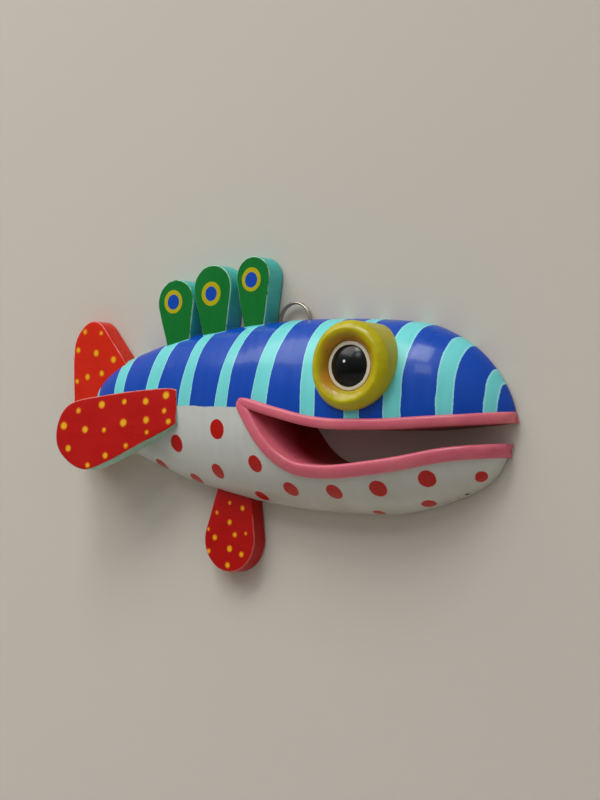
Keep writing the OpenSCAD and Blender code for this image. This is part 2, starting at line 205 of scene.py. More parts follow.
class FishSizes(PropertyGroup):
    """Sizes of the carved and turned pieces."""
    fullness: FloatProperty(name="Fullness", default=2.2, min=2, max=2.6,
                            description="Fullness of the section: 2 is an ellipse, more is squarer")
    dorsal_depth: length("Dorsal Fins", "Thickness of the dorsal fins", depth_of("dorsal_fin_front"))
    tail_depth: length("Tail Fin", "Thickness of the tail fin", depth_of("tail_fin"))
    ventral_depth: length("Ventral Fin", "Thickness of the ventral fin", depth_of("ventral_fin"))
    pectoral_depth: length("Pectoral Fin", "Thickness of the pectoral fin", 12 * MM)
    rounding: length("Edge Rounding", "Rounding of the boards' painted edges", 1.2 * MM)
    upper_lip: length("Upper Lip", "Width of the upper lip", 7.2 * MM)
    lower_lip: length("Lower Lip", "Width of the lower lip", 9 * MM)
    lip_height: length("Lip Height", "How far the lips stand out from the face", 3 * MM)
    eye_radius: length("Eye Ring", "Outside radius of the eye ring", 30.5 * MM)
    white_radius: length("White", "Radius of the white of the eye", 17.2 * MM)
    pupil_radius: length("Pupil", "Radius of the pupil", 14 * MM)
    pupil_height: length("Pupil Dome", "Height of the pupil's dome over the white", 4.5 * MM)
    ring_radius: length("Hanging Ring", "Mean radius of the hanging ring", 13.4 * MM)
    wire: length("Wire", "Thickness of the ring's wire", 1.8 * MM)


class FishPaints(PropertyGroup):
    """Colours of the paints."""
    blue: paint("Blue", "Body between the stripes", 12, 72, 178)
    aqua: paint("Aqua", "Stripes of the body", 116, 216, 216)
    teal: paint("Teal", "Sides and backs of the dorsal fins", 72, 188, 180)
    white: paint("White", "Belly", 202, 204, 199)
    dot_red: paint("Dot Red", "Dots on the belly", 186, 12, 2)
    pink: paint("Pink", "Lips", 216, 104, 124)
    # Throat: red paint, with painted shade deep in the mouth
    throat: paint("Throat", "Depth of the mouth", 140, 16, 16)
    # One red paint in three shades: painted light on the upright tail fin, painted shade on the ventral fin
    # under the belly, and the pectoral fin's red between them
    red: paint("Red", "Pectoral fin", 188, 12, 4)
    lit_tail_red: paint("Bright Red", "Tail fin", 218, 44, 24)
    shaded_ventral_red: paint("Deep Red", "Ventral fin", 180, 8, 2)
    pale_green: paint("Pale Green", "Side of the pectoral fin", 150, 190, 170)
    amber: paint("Amber", "Dots on the red fins", 242, 184, 44)
    green: paint("Green", "Faces of the dorsal fins", 0, 114, 40)
    yellow: paint("Yellow", "Eye ring and rings on the dorsal fins", 184, 172, 0)
    olive: paint("Olive", "Dish of the eye ring", 158, 112, 8)
    ivory: paint("Ivory", "White of the eye", 212, 202, 180)
    black: paint("Black", "Pupil", 5, 6, 6)
    wood: paint("Bare Wood", "Flat back, pocket and dowels", 206, 170, 122)


# ---- curves and grids ----

def curve_through(rows, steps, closed=False):
    """Catmull-Rom curve. Between rows b and c, with a and d before and after them, a point is half of
    2b + (c - a)t + (2a - 5b + 4c - d)t^2 + (3b - a - 3c + d)t^3, for t from 0 to 1."""
    if closed:
        padded = np.concatenate([rows[-1:], rows, rows[:2]])
    else:
        padded = np.concatenate([2 * rows[:1] - rows[1:2], rows, 2 * rows[-1:] - rows[-2:-1]])
    spans = len(padded) - 3
    a, b, c, d = (padded[k:k + spans, None] for k in range(4))
    t = (np.arange(steps) / steps)[None, :, None]
    points = 0.5 * (2 * b + (c - a) * t + (2 * a - 5 * b + 4 * c - d) * t ** 2
                    + (3 * b - a - 3 * c + d) * t ** 3)
    points = points.reshape(-1, rows.shape[1])
    return points if closed else np.concatenate([points, rows[-1:]])


def unit(vectors):
    """The vectors at length one."""
    return vectors / np.linalg.norm(vectors, axis=-1, keepdims=True)


def smooth(share):
    """Smooth step: 3s^2 - 2s^3 for s held between 0 and 1."""
    share = np.clip(share, 0, 1)
    return share * share * (3 - 2 * share)


def power(value, exponent):
    """The value's size raised to the exponent, with its sign kept."""
    return np.sign(value) * np.abs(value) ** exponent


def hand_wobble(x, z, wave):
    """Slow unevenness that hand tools leave, between about -1 and 1: five sine waves over x and z, each
    turned by 2.4 radians, 1.6 times shorter and 1.6 times lower than the one before."""
    total = 0
    for k in range(5):
        across = x * math.cos(2.4 * k) + z * math.sin(2.4 * k)
        total = total + np.sin(2 * math.pi * across * 1.6 ** k / wave + 1.7 * k) / 1.6 ** k
    return total / 2.4


def turn(axis, degrees):
    """Rotation about one axis as a 3 by 3 array."""
    return np.array(Matrix.Rotation(math.radians(degrees), 3, axis))


def with_ends(grid):
    """The grid with a row at each end that lies in one point, the middle of the ring there."""
    first = np.broadcast_to(grid[:1].mean(axis=1, keepdims=True), grid[:1].shape)
    last = np.broadcast_to(grid[-1:].mean(axis=1, keepdims=True), grid[-1:].shape)
    return np.concatenate([first, grid, last])


def revolved(profile, sides, lumps=0.0):
    """Surface of revolution about local Z: radius times (cos t, sin t) and height, for each row (radius,
    height) of the profile and t once round. Lumps swells the radius by that share of cos t + sin(3t) / 2."""
    t = np.arange(sides) * 2 * math.pi / sides
    swell = 1 + lumps * (np.cos(t) + 0.5 * np.sin(3 * t + 2.2))
    radius = profile[:, :1] * swell
    height = np.broadcast_to(profile[:, 1:], radius.shape)
    return np.stack([radius * np.cos(t), radius * np.sin(t), height], axis=-1)


def grid_faces(rows, columns, start):
    """Four corners for each face of a grid whose columns close on themselves."""
    corner = start + np.arange(rows * columns).reshape(rows, columns)
    beside = np.roll(corner, -1, axis=1)
    return np.stack([corner[:-1], beside[:-1], beside[1:], corner[1:]], axis=-1).reshape(-1, 4)


def show(mesh, name):
    """A new object at the origin that holds the mesh."""
    piece = bpy.data.objects.new(name, mesh)
    bpy.context.scene.collection.objects.link(piece)
    return piece


def close_up(mesh):
    """Merges the points that meet, turns every normal outwards and smooths the faces."""
    work = bmesh.new()
    work.from_mesh(mesh)
    bmesh.ops.remove_doubles(work, verts=work.verts, dist=1e-7)
    bmesh.ops.recalc_face_normals(work, faces=work.faces)
    work.to_mesh(mesh)
    work.free()
    mesh.polygons.foreach_set("use_smooth", np.ones(len(mesh.polygons), bool))


def make_piece(name, grids, marks=None, sharp=40):
    """One object from closed grids. Marks are named values for each point, and edges sharper than the
    given degrees stay sharp."""
    sizes = [grid.shape[0] * grid.shape[1] for grid in grids]
    starts = np.cumsum([0] + sizes[:-1])
    points = np.concatenate([grid.reshape(-1, 3) for grid in grids])
    faces = np.concatenate([grid_faces(*grid.shape[:2], start) for grid, start in zip(grids, starts)])
    mesh = bpy.data.meshes.new(name)
    mesh.from_pydata(points.tolist(), [], faces.tolist())
    for mark, values in (marks or {}).items():
        mesh.attributes.new(mark, "FLOAT", "POINT").data.foreach_set("value", values.astype("f").ravel())
    close_up(mesh)
    mesh.set_sharp_from_angle(angle=math.radians(sharp))
    return show(mesh, name)


def finish_piece(piece, body, materials, nodes):
    """Gives a piece its materials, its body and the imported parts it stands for."""
    for k, material in enumerate(materials):
        if k < len(piece.material_slots):
            piece.material_slots[k].material = material
        else:
            piece.data.materials.append(material)
    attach(piece, body)
    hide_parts(*nodes)


# ---- nodes ----

class Wiring:
    """Adds nodes to one tree. A value that is a socket is linked, and any other becomes the default."""

    def __init__(self, tree):
        self.tree = tree

    def feed(self, socket, value):
        if isinstance(value, bpy.types.NodeSocket):
            self.tree.links.new(value, socket)
        else:
            socket.default_value = value

    def node(self, kind, values=None, **settings):
        made = self.tree.nodes.new(kind)
        for name, value in settings.items():
            setattr(made, name, value)
        for name, value in (values or {}).items():
            self.feed(made.inputs[name], value)
        return made

    def maths(self, operation, *values, clamp=False):
        made = self.node("ShaderNodeMath", operation=operation, use_clamp=clamp)
        for socket, value in zip(made.inputs, values):
            self.feed(socket, value)
        return made.outputs[0]

    def vector(self, operation, *values):
        made = self.node("ShaderNodeVectorMath", operation=operation)
        for socket, value in zip(made.inputs, values):
            self.feed(socket, value)
        return made.outputs["Value" if operation in ("DISTANCE", "LENGTH") else "Vector"]

    def split(self, position):
        """X, Y and Z of a place."""
        return self.node("ShaderNodeSeparateXYZ", {"Vector": position}).outputs

    def mix(self, mask, below, above):
        made = self.node("ShaderNodeMix", data_type="RGBA")
        self.feed(made.inputs[0], mask)
        self.feed(made.inputs[6], below)
        self.feed(made.inputs[7], above)
        return made.outputs[2]

    def ramp(self, value, low, high, start=0.0, end=1.0):
        """Smooth rise from start to end as the value goes from low to high."""
        made = self.node("ShaderNodeMapRange", {"Value": value, "From Min": low, "From Max": high,
                                                "To Min": start, "To Max": end},
                         interpolation_type="SMOOTHSTEP")
        return made.outputs["Result"]

    def noise(self, position, scale, detail=2.0, roughness=0.5):
        made = self.node("ShaderNodeTexNoise", {"Vector": position, "Scale": scale, "Detail": detail,
                                                "Roughness": roughness})
        return made.outputs["Fac"]

    def group(self, group, values):
        made = self.tree.nodes.new("ShaderNodeGroup")
        made.node_tree = group
        for name, value in values.items():
            self.feed(made.inputs[name], value)
        return made.outputs


def new_group(name, inputs, outputs):
    """An empty shader group with named sockets: its wiring, its inputs and the sockets of its outputs."""
    tree = bpy.data.node_groups.new(name, "ShaderNodeTree")
    for direction, sockets in (("INPUT", inputs), ("OUTPUT", outputs)):
        for label, kind in sockets.items():
            tree.interface.new_socket(label, in_out=direction, socket_type="NodeSocket" + kind)
    wiring = Wiring(tree)
    return wiring, wiring.node("NodeGroupInput").outputs, wiring.node("NodeGroupOutput").inputs


def shaky_hand():
    """Shaky hand: how far a painted edge strays, in metres. A slow stray of the given reach and a fine one a
    third as far."""
    w, given, made = new_group("Shaky Hand", {"Position": "Vector", "Reach": "Float"}, {"Stray": "Float"})
    slow = w.maths("SUBTRACT", w.noise(given["Position"], 45.0, 1.0), 0.5)
    fine = w.maths("SUBTRACT", w.noise(given["Position"], 420.0, 2.0), 0.5)
    both = w.maths("ADD", w.maths("MULTIPLY", slow, 3.0), fine)
    w.feed(made["Stray"], w.maths("MULTIPLY", both, given["Reach"]))
    return w.tree


def painted_dot():
    """Painted dot: 1 within the radius of the centre, less the stray, and 0 beyond it."""
    w, given, made = new_group(
        "Painted Dot", {"Position": "Vector", "Centre": "Vector", "Radius": "Float", "Stray": "Float"},
        {"Mask": "Float"})
    away = w.vector("DISTANCE", given["Position"], given["Centre"])
    inside = w.maths("SUBTRACT", given["Radius"], w.maths("ADD", away, given["Stray"]))
    w.feed(made["Mask"], w.ramp(inside, -0.2 * MM, 0.2 * MM))
    return w.tree


def painted_band():
    """Painted band: the mask is 1 between a start and an end along X, which shift evenly from the belly line
    to the back line, and 0 outside them. The middle is the same mask, 1 mm narrower on each side."""
    w, given, made = new_group(
        "Painted Band", {"Position": "Vector", "Low Start": "Float", "Low End": "Float",
                         "High Start": "Float", "High End": "Float", "Stray": "Float"},
        {"Mask": "Float", "Middle": "Float"})
    place = w.split(given["Position"])
    rise = w.node("ShaderNodeMapRange", {"Value": place["Z"], "From Min": BELLY_LINE,
                                         "From Max": BACK_LINE}, clamp=True).outputs["Result"]
    along = w.maths("ADD", place["X"], given["Stray"])
    sides = []
    middles = []
    for low, high, sign in (("Low Start", "High Start", 1.0), ("Low End", "High End", -1.0)):
        shift = w.maths("MULTIPLY", w.maths("SUBTRACT", given[high], given[low]), rise)
        edge = w.maths("ADD", given[low], shift)
        past = w.maths("MULTIPLY", w.maths("SUBTRACT", along, edge), sign)
        sides.append(w.ramp(past, -0.25 * MM, 0.25 * MM))
        middles.append(w.ramp(past, 0.3 * MM, 1.3 * MM))
    w.feed(made["Mask"], w.maths("MULTIPLY", *sides))
    w.feed(made["Middle"], w.maths("MULTIPLY", *middles))
    return w.tree


def brush_strokes():
    """Brush strokes: the colour with long streaks, cloudy thin places and fine specks, with a roughness
    and a height that follow the same streaks. Stretch is how many streaks there are in a metre each way."""
    w, given, made = new_group(
        "Brush Strokes", {"Position": "Vector", "Stretch": "Vector", "Color": "Color", "Strength": "Float",
                          "Gloss": "Float"},
        {"Color": "Color", "Roughness": "Float", "Height": "Float"})
    streak = w.noise(w.vector("MULTIPLY", given["Position"], given["Stretch"]), 1.0, 2.0, 0.45)
    cloud = w.noise(given["Position"], 22.0, 3.0)
    speck = w.noise(given["Position"], 1500.0, 1.0)
    uneven = w.maths("ADD", w.maths("SUBTRACT", streak, 0.5), w.maths("SUBTRACT", cloud, 0.5))
    value = w.maths("ADD", 1.0, w.maths("MULTIPLY", uneven, given["Strength"]))
    fade = w.maths("SUBTRACT", 1.04, w.maths("MULTIPLY", cloud, w.maths("MULTIPLY", given["Strength"], 0.25)))
    tinted = w.node("ShaderNodeHueSaturation", {"Color": given["Color"], "Value": value, "Saturation": fade})
    w.feed(made["Color"], tinted.outputs["Color"])
    dry = w.maths("ADD", w.maths("SUBTRACT", streak, 0.5), w.maths("SUBTRACT", cloud, 0.45))
    w.feed(made["Roughness"], w.maths("ADD", given["Gloss"], w.maths("MULTIPLY", dry, 0.28), clamp=True))
    w.feed(made["Height"], w.maths("ADD", streak, w.maths("MULTIPLY", speck, 0.12)))
    return w.tree


def worn_and_highlit_edge():
    """Worn and highlit edge: 1 in ragged patches where the edge mark is high and 0 elsewhere, for worn paint
    and painted highlight along the edges.
    """
    w, given, made = new_group("Worn And Highlit Edge", {"Position": "Vector", "Edge": "Float", "Amount": "Float"},
                               {"Mask": "Float"})
    ragged = w.maths("ADD", w.noise(given["Position"], 130.0, 4.0, 0.65),
                     w.maths("MULTIPLY", w.noise(given["Position"], 30.0, 1.0), 0.7))
    level = w.maths("MULTIPLY", w.maths("MULTIPLY", ragged, given["Edge"]), given["Amount"])
    w.feed(made["Mask"], w.ramp(level, 0.62, 0.70))
    return w.tree


def wood_grain():
    """Wood grain: the colour with growth lines along X, pores and saw marks across them, and its height."""
    w, given, made = new_group("Wood Grain", {"Position": "Vector", "Color": "Color"},
                               {"Color": "Color", "Roughness": "Float", "Height": "Float"})
    drift = w.node("ShaderNodeTexNoise", {"Vector": given["Position"], "Scale": 9.0}).outputs["Color"]
    bent = w.vector("ADD", given["Position"], w.vector("MULTIPLY", drift, (0.02, 0.02, 0.02)))
    rings = w.noise(w.vector("MULTIPLY", bent, (7.0, 60.0, 140.0)), 1.0, 3.0, 0.6)
    pores = w.noise(w.vector("MULTIPLY", given["Position"], (120.0, 1800.0, 1800.0)), 1.0, 2.0)
    saw = w.noise(w.vector("MULTIPLY", given["Position"], (700.0, 20.0, 25.0)), 1.0, 2.0)
    dark = w.mix(w.ramp(rings, 0.35, 0.65), given["Color"], (0.42, 0.24, 0.11, 1))
    lined = w.mix(w.maths("MULTIPLY", w.ramp(pores, 0.55, 0.7), 0.35), dark, (0.16, 0.08, 0.03, 1))
    w.feed(made["Color"], w.mix(0.45, given["Color"], lined))
    w.feed(made["Roughness"], w.maths("ADD", 0.62, w.maths("MULTIPLY", rings, 0.25)))
    w.feed(made["Height"], w.maths("ADD", w.maths("MULTIPLY", saw, 0.6), w.maths("MULTIPLY", pores, 0.5)))
    return w.tree


def fine_scratches():
    """Fine scratches: a roughness and a height with thin marks every way, and a mask of dull spots."""
    w, given, made = new_group("Fine Scratches", {"Position": "Vector", "Gloss": "Float"},
                               {"Roughness": "Float", "Height": "Float", "Dull": "Float"})
    marks = w.noise(w.vector("MULTIPLY", given["Position"], (4200.0, 4200.0, 500.0)), 1.0, 3.0)
    cloud = w.noise(given["Position"], 260.0, 3.0)
    rubbed = w.maths("MULTIPLY", w.maths("ADD", marks, cloud), 0.14)
    w.feed(made["Roughness"], w.maths("ADD", given["Gloss"], rubbed))
    w.feed(made["Height"], marks)
    w.feed(made["Dull"], w.ramp(cloud, 0.55, 0.75))
    return w.tree


class Finishes:
    """The shared effects and the materials made with them, each built once."""
    effects = {}
    materials = {}


def effect(build):
    """The node group that a function builds, built at its first use."""
    if build.__name__ not in Finishes.effects:
        Finishes.effects[build.__name__] = build()
    return Finishes.effects[build.__name__]


def material(name):
    """A new material: its wiring, its shader, and its Object coordinates."""
    made = bpy.data.materials.new(name)
    made.use_nodes = True
    made.node_tree.nodes.clear()
    w = Wiring(made.node_tree)
    shader = w.node("ShaderNodeBsdfPrincipled")
    w.node("ShaderNodeOutputMaterial", {"Surface": shader.outputs["BSDF"]})
    position = w.node("ShaderNodeTexCoord").outputs["Object"]
    return made, w, shader, position


def mark(w, name):
    """The value of a named mark of the mesh."""
    return w.node("ShaderNodeAttribute", attribute_name=name).outputs["Fac"]


def dots(w, position, centres, radius, stray):
    """One mask for all the dots at the centres. A radius is one for all or one for each."""
    radii = np.broadcast_to(radius, len(centres))
    total = 0.0
    for centre, size in zip(centres, radii):
        one = w.group(effect(painted_dot), {"Position": position, "Centre": centre.tolist(),
                                            "Radius": float(size), "Stray": stray})
        total = w.maths("MAXIMUM", total, one["Mask"])
    return total


def straying(w, position, reach):
    """How far a painted edge strays from its drawn line."""
    return w.group(effect(shaky_hand), {"Position": position, "Reach": reach})["Stray"]


def brushed(w, position, color, stretch, strength, gloss):
    """A colour as the brush leaves it, with its roughness and its height."""
    return w.group(effect(brush_strokes), {
        "Position": position, "Color": color, "Stretch": stretch, "Strength": strength, "Gloss": gloss})


def pale_worn_and_highlit(w, position, color, amount, share, pale):
    """A board's colour, with the given share of a paler one in ragged patches along its edges: worn paint,
    and a painted highlight where the rounded edges catch the light.
    """
    bare = w.group(effect(worn_and_highlit_edge), {"Position": position, "Edge": mark(w, "edge"), "Amount": amount})
    return w.mix(w.maths("MULTIPLY", bare["Mask"], share), color, pale)


def varnish(w, shader, color, roughness, height, coat=0.25):
    """Gloss paint under a thin varnish, with brush marks that stand up by 0.05 mm."""
    w.feed(shader.inputs["Base Color"], color)
    w.feed(shader.inputs["Roughness"], roughness)
    shader.inputs["Coat Weight"].default_value = coat
    shader.inputs["Coat Roughness"].default_value = 0.11
    shader.inputs["Specular IOR Level"].default_value = 0.22
    bump = w.node("ShaderNodeBump", {"Height": height, "Strength": 0.5, "Distance": 0.05 * MM})
    w.feed(shader.inputs["Normal"], bump.outputs["Normal"])


# ---- finishes ----

def body_paint(paints):
    """Blue with aqua stripes over a white belly with red dots, chipped to the wood in a few places."""
    made, w, shader, position = material("paint_body")
    place = w.split(position)
    stray = straying(w, position, 0.7 * MM)
    stripes = 0.0
    middles = 0.0
    for row in STRIPES.tolist():
        ends = dict(zip(("Low Start", "Low End", "High Start", "High End"), row))
        one = w.group(effect(painted_band), {"Position": position, "Stray": stray, **ends})
        stripes = w.maths("MAXIMUM", stripes, one["Mask"])
        middles = w.maths("MAXIMUM", middles, one["Middle"])
    # The belly's edge rises slowly towards the tail, and drops to the mouth from its corner on
    line = w.maths("SUBTRACT", BELLY_LINE, w.maths("MULTIPLY", place["X"], 0.05))
    drop = w.ramp(place["X"], -12 * MM, 4 * MM)
    level = w.maths("ADD", w.maths("MULTIPLY", line, w.maths("SUBTRACT", 1.0, drop)),
                    w.maths("MULTIPLY", drop, -26 * MM))
    under = w.maths("SUBTRACT", level, w.maths("ADD", place["Z"], stray))
    belly = w.ramp(under, -0.25 * MM, 0.25 * MM)
    red = w.maths("MULTIPLY", belly, dots(w, position, BELLY_DOTS[:, :3], BELLY_DOTS[:, 3], stray))
    stripe = w.mix(middles, linear(158, 228, 232), list(paints.aqua))
    back = w.mix(stripes, list(paints.blue), stripe)
    front = w.mix(red, list(paints.white), list(paints.dot_red))
    strength = w.ramp(belly, 0.0, 1.0, 0.16, 0.09)
    strokes = brushed(w, position, w.mix(belly, back, front), (160.0, 60.0, 22.0), strength, 0.3)
    # Pink laps round the nose between the lips
    off_mouth = w.maths("ABSOLUTE", w.maths("ADD", place["Z"], 24 * MM))
    tip = w.ramp(place["X"], 163 * MM, 164 * MM)
    nose = w.maths("MULTIPLY", tip, w.ramp(off_mouth, 13.2 * MM, 12.8 * MM))
    color = w.mix(nose, strokes["Color"], list(paints.pink))
    # The belly darkens towards its lowest line, in clouds, but not on its dots: painted shade under the
    # belly, with soil in the clouds
    low = w.maths("MULTIPLY", belly, w.ramp(place["Z"], -36 * MM, -76 * MM))
    cloudy = w.maths("MULTIPLY", low, w.ramp(w.noise(position, 26.0, 2.0), 0.25, 0.75, 0.35, 1.0))
    darkening = w.maths("MULTIPLY", cloudy, w.ramp(red, 0.0, 1.0, 0.5, 0.0))
    color = w.mix(darkening, color, linear(150, 128, 100))
    chips = dots(w, position, CHIPS[:, :3], CHIPS[:, 3], w.maths("MULTIPLY", stray, 3.0))
    color = w.mix(chips, color, linear(104, 66, 40))
    above = w.maths("SUBTRACT", 1.0, belly)
    paint_edge = w.maths("MAXIMUM", w.maths("MULTIPLY", stripes, above), red)
    ridges = w.maths("MULTIPLY", strokes["Height"], w.ramp(belly, 0.0, 1.0, 0.5, 0.0))
    height = w.maths("ADD", ridges, w.maths("MULTIPLY", paint_edge, 0.5))
    rough = w.maths("ADD", w.maths("MULTIPLY", strokes["Roughness"], above), w.maths("MULTIPLY", belly, 0.36))
    varnish(w, shader, color, w.maths("ADD", rough, w.maths("MULTIPLY", chips, 0.4)), height)
    return made


def throat_paint(paints):
    """The lips' pink, which turns to deep red towards the wall: red paint, darkened by painted shade deep in
    the mouth.
    """
    made, w, shader, position = material("paint_throat")
    place = w.split(position)
    cloud = w.maths("MULTIPLY", w.maths("SUBTRACT", w.noise(position, 40.0, 3.0), 0.5), 16 * MM)
    # Painted shade deep in the mouth: the pink turns to the darker red towards the wall
    deep = w.ramp(w.maths("ADD", place["Y"], cloud), -41 * MM, -19 * MM)
    color = w.mix(deep, list(paints.pink), list(paints.throat))
    strokes = brushed(w, position, color, (200.0, 40.0, 200.0), 0.3, 0.4)
    varnish(w, shader, strokes["Color"], strokes["Roughness"], strokes["Height"], coat=0.15)
    return made


def lip_paint(paints):
    """Pink, thin and redder where the brush ran dry."""
    made, w, shader, position = material("paint_lips")
    blotch = w.ramp(w.noise(position, 55.0, 3.0), 0.4, 0.75)
    color = w.mix(w.maths("MULTIPLY", blotch, 0.4), list(paints.pink), linear(224, 130, 124))
    strokes = brushed(w, position, color, (34.0, 160.0, 160.0), 0.2, 0.34)
    varnish(w, shader, strokes["Color"], strokes["Roughness"], strokes["Height"], coat=0.3)
    return made


def red_board(name, red, side_color, amber, centres, radius):
    """Red face with amber dots. The side has its own paint, and the edges are pale in patches: rubbed paint,
    with a painted highlight along them.
    """
    made, w, shader, position = material(name)
    side = mark(w, "side")
    stray = straying(w, position, 0.5 * MM)
    rim = dots(w, position, centres, radius, stray)
    heart = dots(w, position, centres, radius - 0.9 * MM, w.maths("MULTIPLY", stray, 1.5))
    spotted = w.mix(w.maths("MULTIPLY", rim, 0.85), red, linear(226, 124, 20))
    spotted = w.mix(heart, spotted, amber)
    rubbed = w.maths("MULTIPLY", w.ramp(w.noise(position, 75.0, 5.0, 0.7), 0.64, 0.72),
                     w.ramp(w.noise(position, 18.0, 0.0), 0.5, 0.62))
    spotted = w.mix(w.maths("MULTIPLY", rubbed, 0.4), spotted, linear(236, 150, 140))
    across = w.maths("ADD", side, w.maths("MULTIPLY", stray, 260.0))
    on_side = w.ramp(across, 0.62, 0.74)
    color = w.mix(on_side, spotted, side_color)
    strokes = brushed(w, position, color, (40.0, 120.0, 140.0), 0.18, 0.3)
    # Pale in patches along the edges: rubbed paint, with a painted highlight where the rounded edges catch
    # the light
    pale = pale_worn_and_highlit(w, position, strokes["Color"], 0.86, 0.35, linear(232, 150, 136))
    height = w.maths("ADD", w.maths("MULTIPLY", strokes["Height"], 0.6), w.maths("MULTIPLY", rim, 0.7))
    varnish(w, shader, pale, strokes["Roughness"], height)
    return made


def green_board(name, paints, centre):
    """Green face with a blue dot in a yellow ring, and a teal side that laps over the face's edge and
    down on the body."""
    made, w, shader, position = material(name)
    stray = straying(w, position, 0.45 * MM)
    disc = dots(w, position, [centre], 8.8 * MM, stray)
    eye = dots(w, position, [centre], 5.5 * MM, w.maths("MULTIPLY", stray, -0.8))
    face = w.mix(disc, list(paints.green), list(paints.yellow))
    face = w.mix(eye, face, list(paints.blue))
    across = w.maths("ADD", mark(w, "side"), w.maths("MULTIPLY", stray, 300.0))
    root = w.ramp(w.maths("SUBTRACT", mark(w, "above"), stray), 1.3 * MM, 0.9 * MM)
    color = w.mix(w.ramp(across, 0.66, 0.8), face, list(paints.teal))
    color = w.mix(root, color, list(paints.aqua))
    strokes = brushed(w, position, color, (150.0, 150.0, 36.0), 0.16, 0.3)
    # Pale in patches along the edges: worn paint, with a painted highlight where the rounded edges catch the
    # light
    pale = pale_worn_and_highlit(w, position, strokes["Color"], 0.85, 0.6, linear(190, 232, 214))
    height = w.maths("ADD", w.maths("MULTIPLY", strokes["Height"], 0.5),
                     w.maths("MULTIPLY", w.maths("ADD", disc, eye), 0.4))
    varnish(w, shader, pale, strokes["Roughness"], height)
    return made


def eye_ring_paint(paints):
    """Yellow rim over a dish that is darker and browner towards the top of its tail side: olive paint with
    painted shade, deepest where the dish's wall turns from the light.
    """
    made, w, shader, position = material("paint_yellow")
    dish = mark(w, "dish")
    blotch = w.noise(position, 60.0, 3.0)
    inside = w.mix(w.ramp(blotch, 0.35, 0.7), list(paints.olive), linear(190, 118, 20))
    patchy = w.maths("MULTIPLY", w.maths("SUBTRACT", blotch, 0.5), 0.9)
    # Darker towards the white and in patches: olive paint, and painted shade in the hollow of the dish
    shade = w.ramp(w.maths("ADD", dish, patchy), 0.1, 0.8)
    place = w.split(position)
    # Painted shade: height less distance along the fish rises towards the top of the tail side, where the
    # dish's wall turns from the light
    middle = float(EYE_AT[2] - EYE_AT[0])
    lean = w.ramp(w.maths("SUBTRACT", place["Z"], place["X"]), middle - 22 * MM, middle + 6 * MM, 0.25, 0.85)
    color = w.mix(w.maths("MULTIPLY", shade, lean), list(paints.yellow), inside)
    strokes = brushed(w, position, color, (160.0, 60.0, 160.0), 0.26, 0.3)
    varnish(w, shader, strokes["Color"], strokes["Roughness"], strokes["Height"])
    return made


def eye_white_paint(paints):
    """Ivory, with a tan line where it meets the yellow and a black one round the pupil."""
    made, w, shader, position = material("paint_white")
    stray = straying(w, position, 0.6 * MM)
    reach = w.maths("ADD", mark(w, "reach"), stray)
    color = w.mix(w.maths("MULTIPLY", w.ramp(reach, 16.4 * MM, 16.8 * MM), 0.85), list(paints.ivory),
                  linear(168, 112, 62))
    color = w.mix(w.ramp(reach, 14.35 * MM, 14.1 * MM), color, list(paints.black))
    strokes = brushed(w, position, color, (300.0, 60.0, 300.0), 0.3, 0.38)
    varnish(w, shader, strokes["Color"], strokes["Roughness"], strokes["Height"], coat=0.2)
    return made


def pupil_paint(paints):
    """Black under deep varnish, with one white dab."""
    made, w, shader, position = material("paint_black")
    dab = dots(w, position, [EYE_AT + MM * np.array([-1.2, -4.3, 2.8])], 0.95 * MM, 0.0)
    strokes = brushed(w, position, list(paints.black), (200.0, 60.0, 120.0), 0.4, 0.2)
    varnish(w, shader, w.mix(dab, strokes["Color"], (0.9, 0.9, 0.88, 1)), strokes["Roughness"],
            w.maths("ADD", strokes["Height"], dab), coat=0.2)
    return made


def bare_wood(paints):
    """Light sawn wood, a little soiled."""
    made, w, shader, position = material("bare_wood")
    grain = w.group(effect(wood_grain), {"Position": position, "Color": list(paints.wood)})
    darkening = w.ramp(w.noise(position, 14.0, 4.0), 0.55, 0.8)
    color = w.mix(w.maths("MULTIPLY", darkening, 0.35), grain["Color"], (0.18, 0.13, 0.09, 1))
    w.feed(shader.inputs["Base Color"], color)
    w.feed(shader.inputs["Roughness"], grain["Roughness"])
    bump = w.node("ShaderNodeBump", {"Height": grain["Height"], "Strength": 0.7, "Distance": 0.25 * MM})
    w.feed(shader.inputs["Normal"], bump.outputs["Normal"])
    return made


def steel(name, tint, gloss):
    """Plated steel with fine scratches and dull spots."""
    made, w, shader, position = material(name)
    marks = w.group(effect(fine_scratches), {"Position": position, "Gloss": gloss})
    dull = w.maths("MULTIPLY", marks["Dull"], 0.6)
    w.feed(shader.inputs["Base Color"], w.mix(dull, tint, (0.30, 0.25, 0.20, 1)))
    w.feed(shader.inputs["Roughness"], marks["Roughness"])
    shader.inputs["Metallic"].default_value = 1.0
    bump = w.node("ShaderNodeBump", {"Height": marks["Height"], "Strength": 0.5, "Distance": 0.02 * MM})
    w.feed(shader.inputs["Normal"], bump.outputs["Normal"])
    return made


def finish(name, build, *values):
    """The material that a function builds, built at its first use."""
    if name not in Finishes.materials:
        Finishes.materials[name] = build(*values)
    return Finishes.materials[name]


# ---- carved body ----

def section_at(x):
    """Top edge, bottom edge and depth of the blank at x."""
    rows = curve_through(STATIONS, 14)
    return (np.interp(x, rows[:, 0], rows[:, k]) for k in (1, 2, 3))


def face_at(x, z, fullness):
    """How far the carved face stands out at x and z: minus the depth times (1 - t^p)^(1/p), where t is the
    height over the section's middle as a share of half its height."""
    top, bottom, depth = section_at(x)
    t = np.clip(np.abs(2 * z - top - bottom) / (top - bottom), 0, 1)
    return -depth * (1 - t ** fullness) ** (1 / fullness)


def back_at(x, y, fullness):
    """Height of the carved back at x and y: middle + half (1 - (y/depth)^p)^(1/p)."""
    top, bottom, depth = section_at(x)
    share = np.clip(-y / depth, 0, 1)
    return (top + bottom) / 2 + (top - bottom) / 2 * (1 - share ** fullness) ** (1 / fullness)


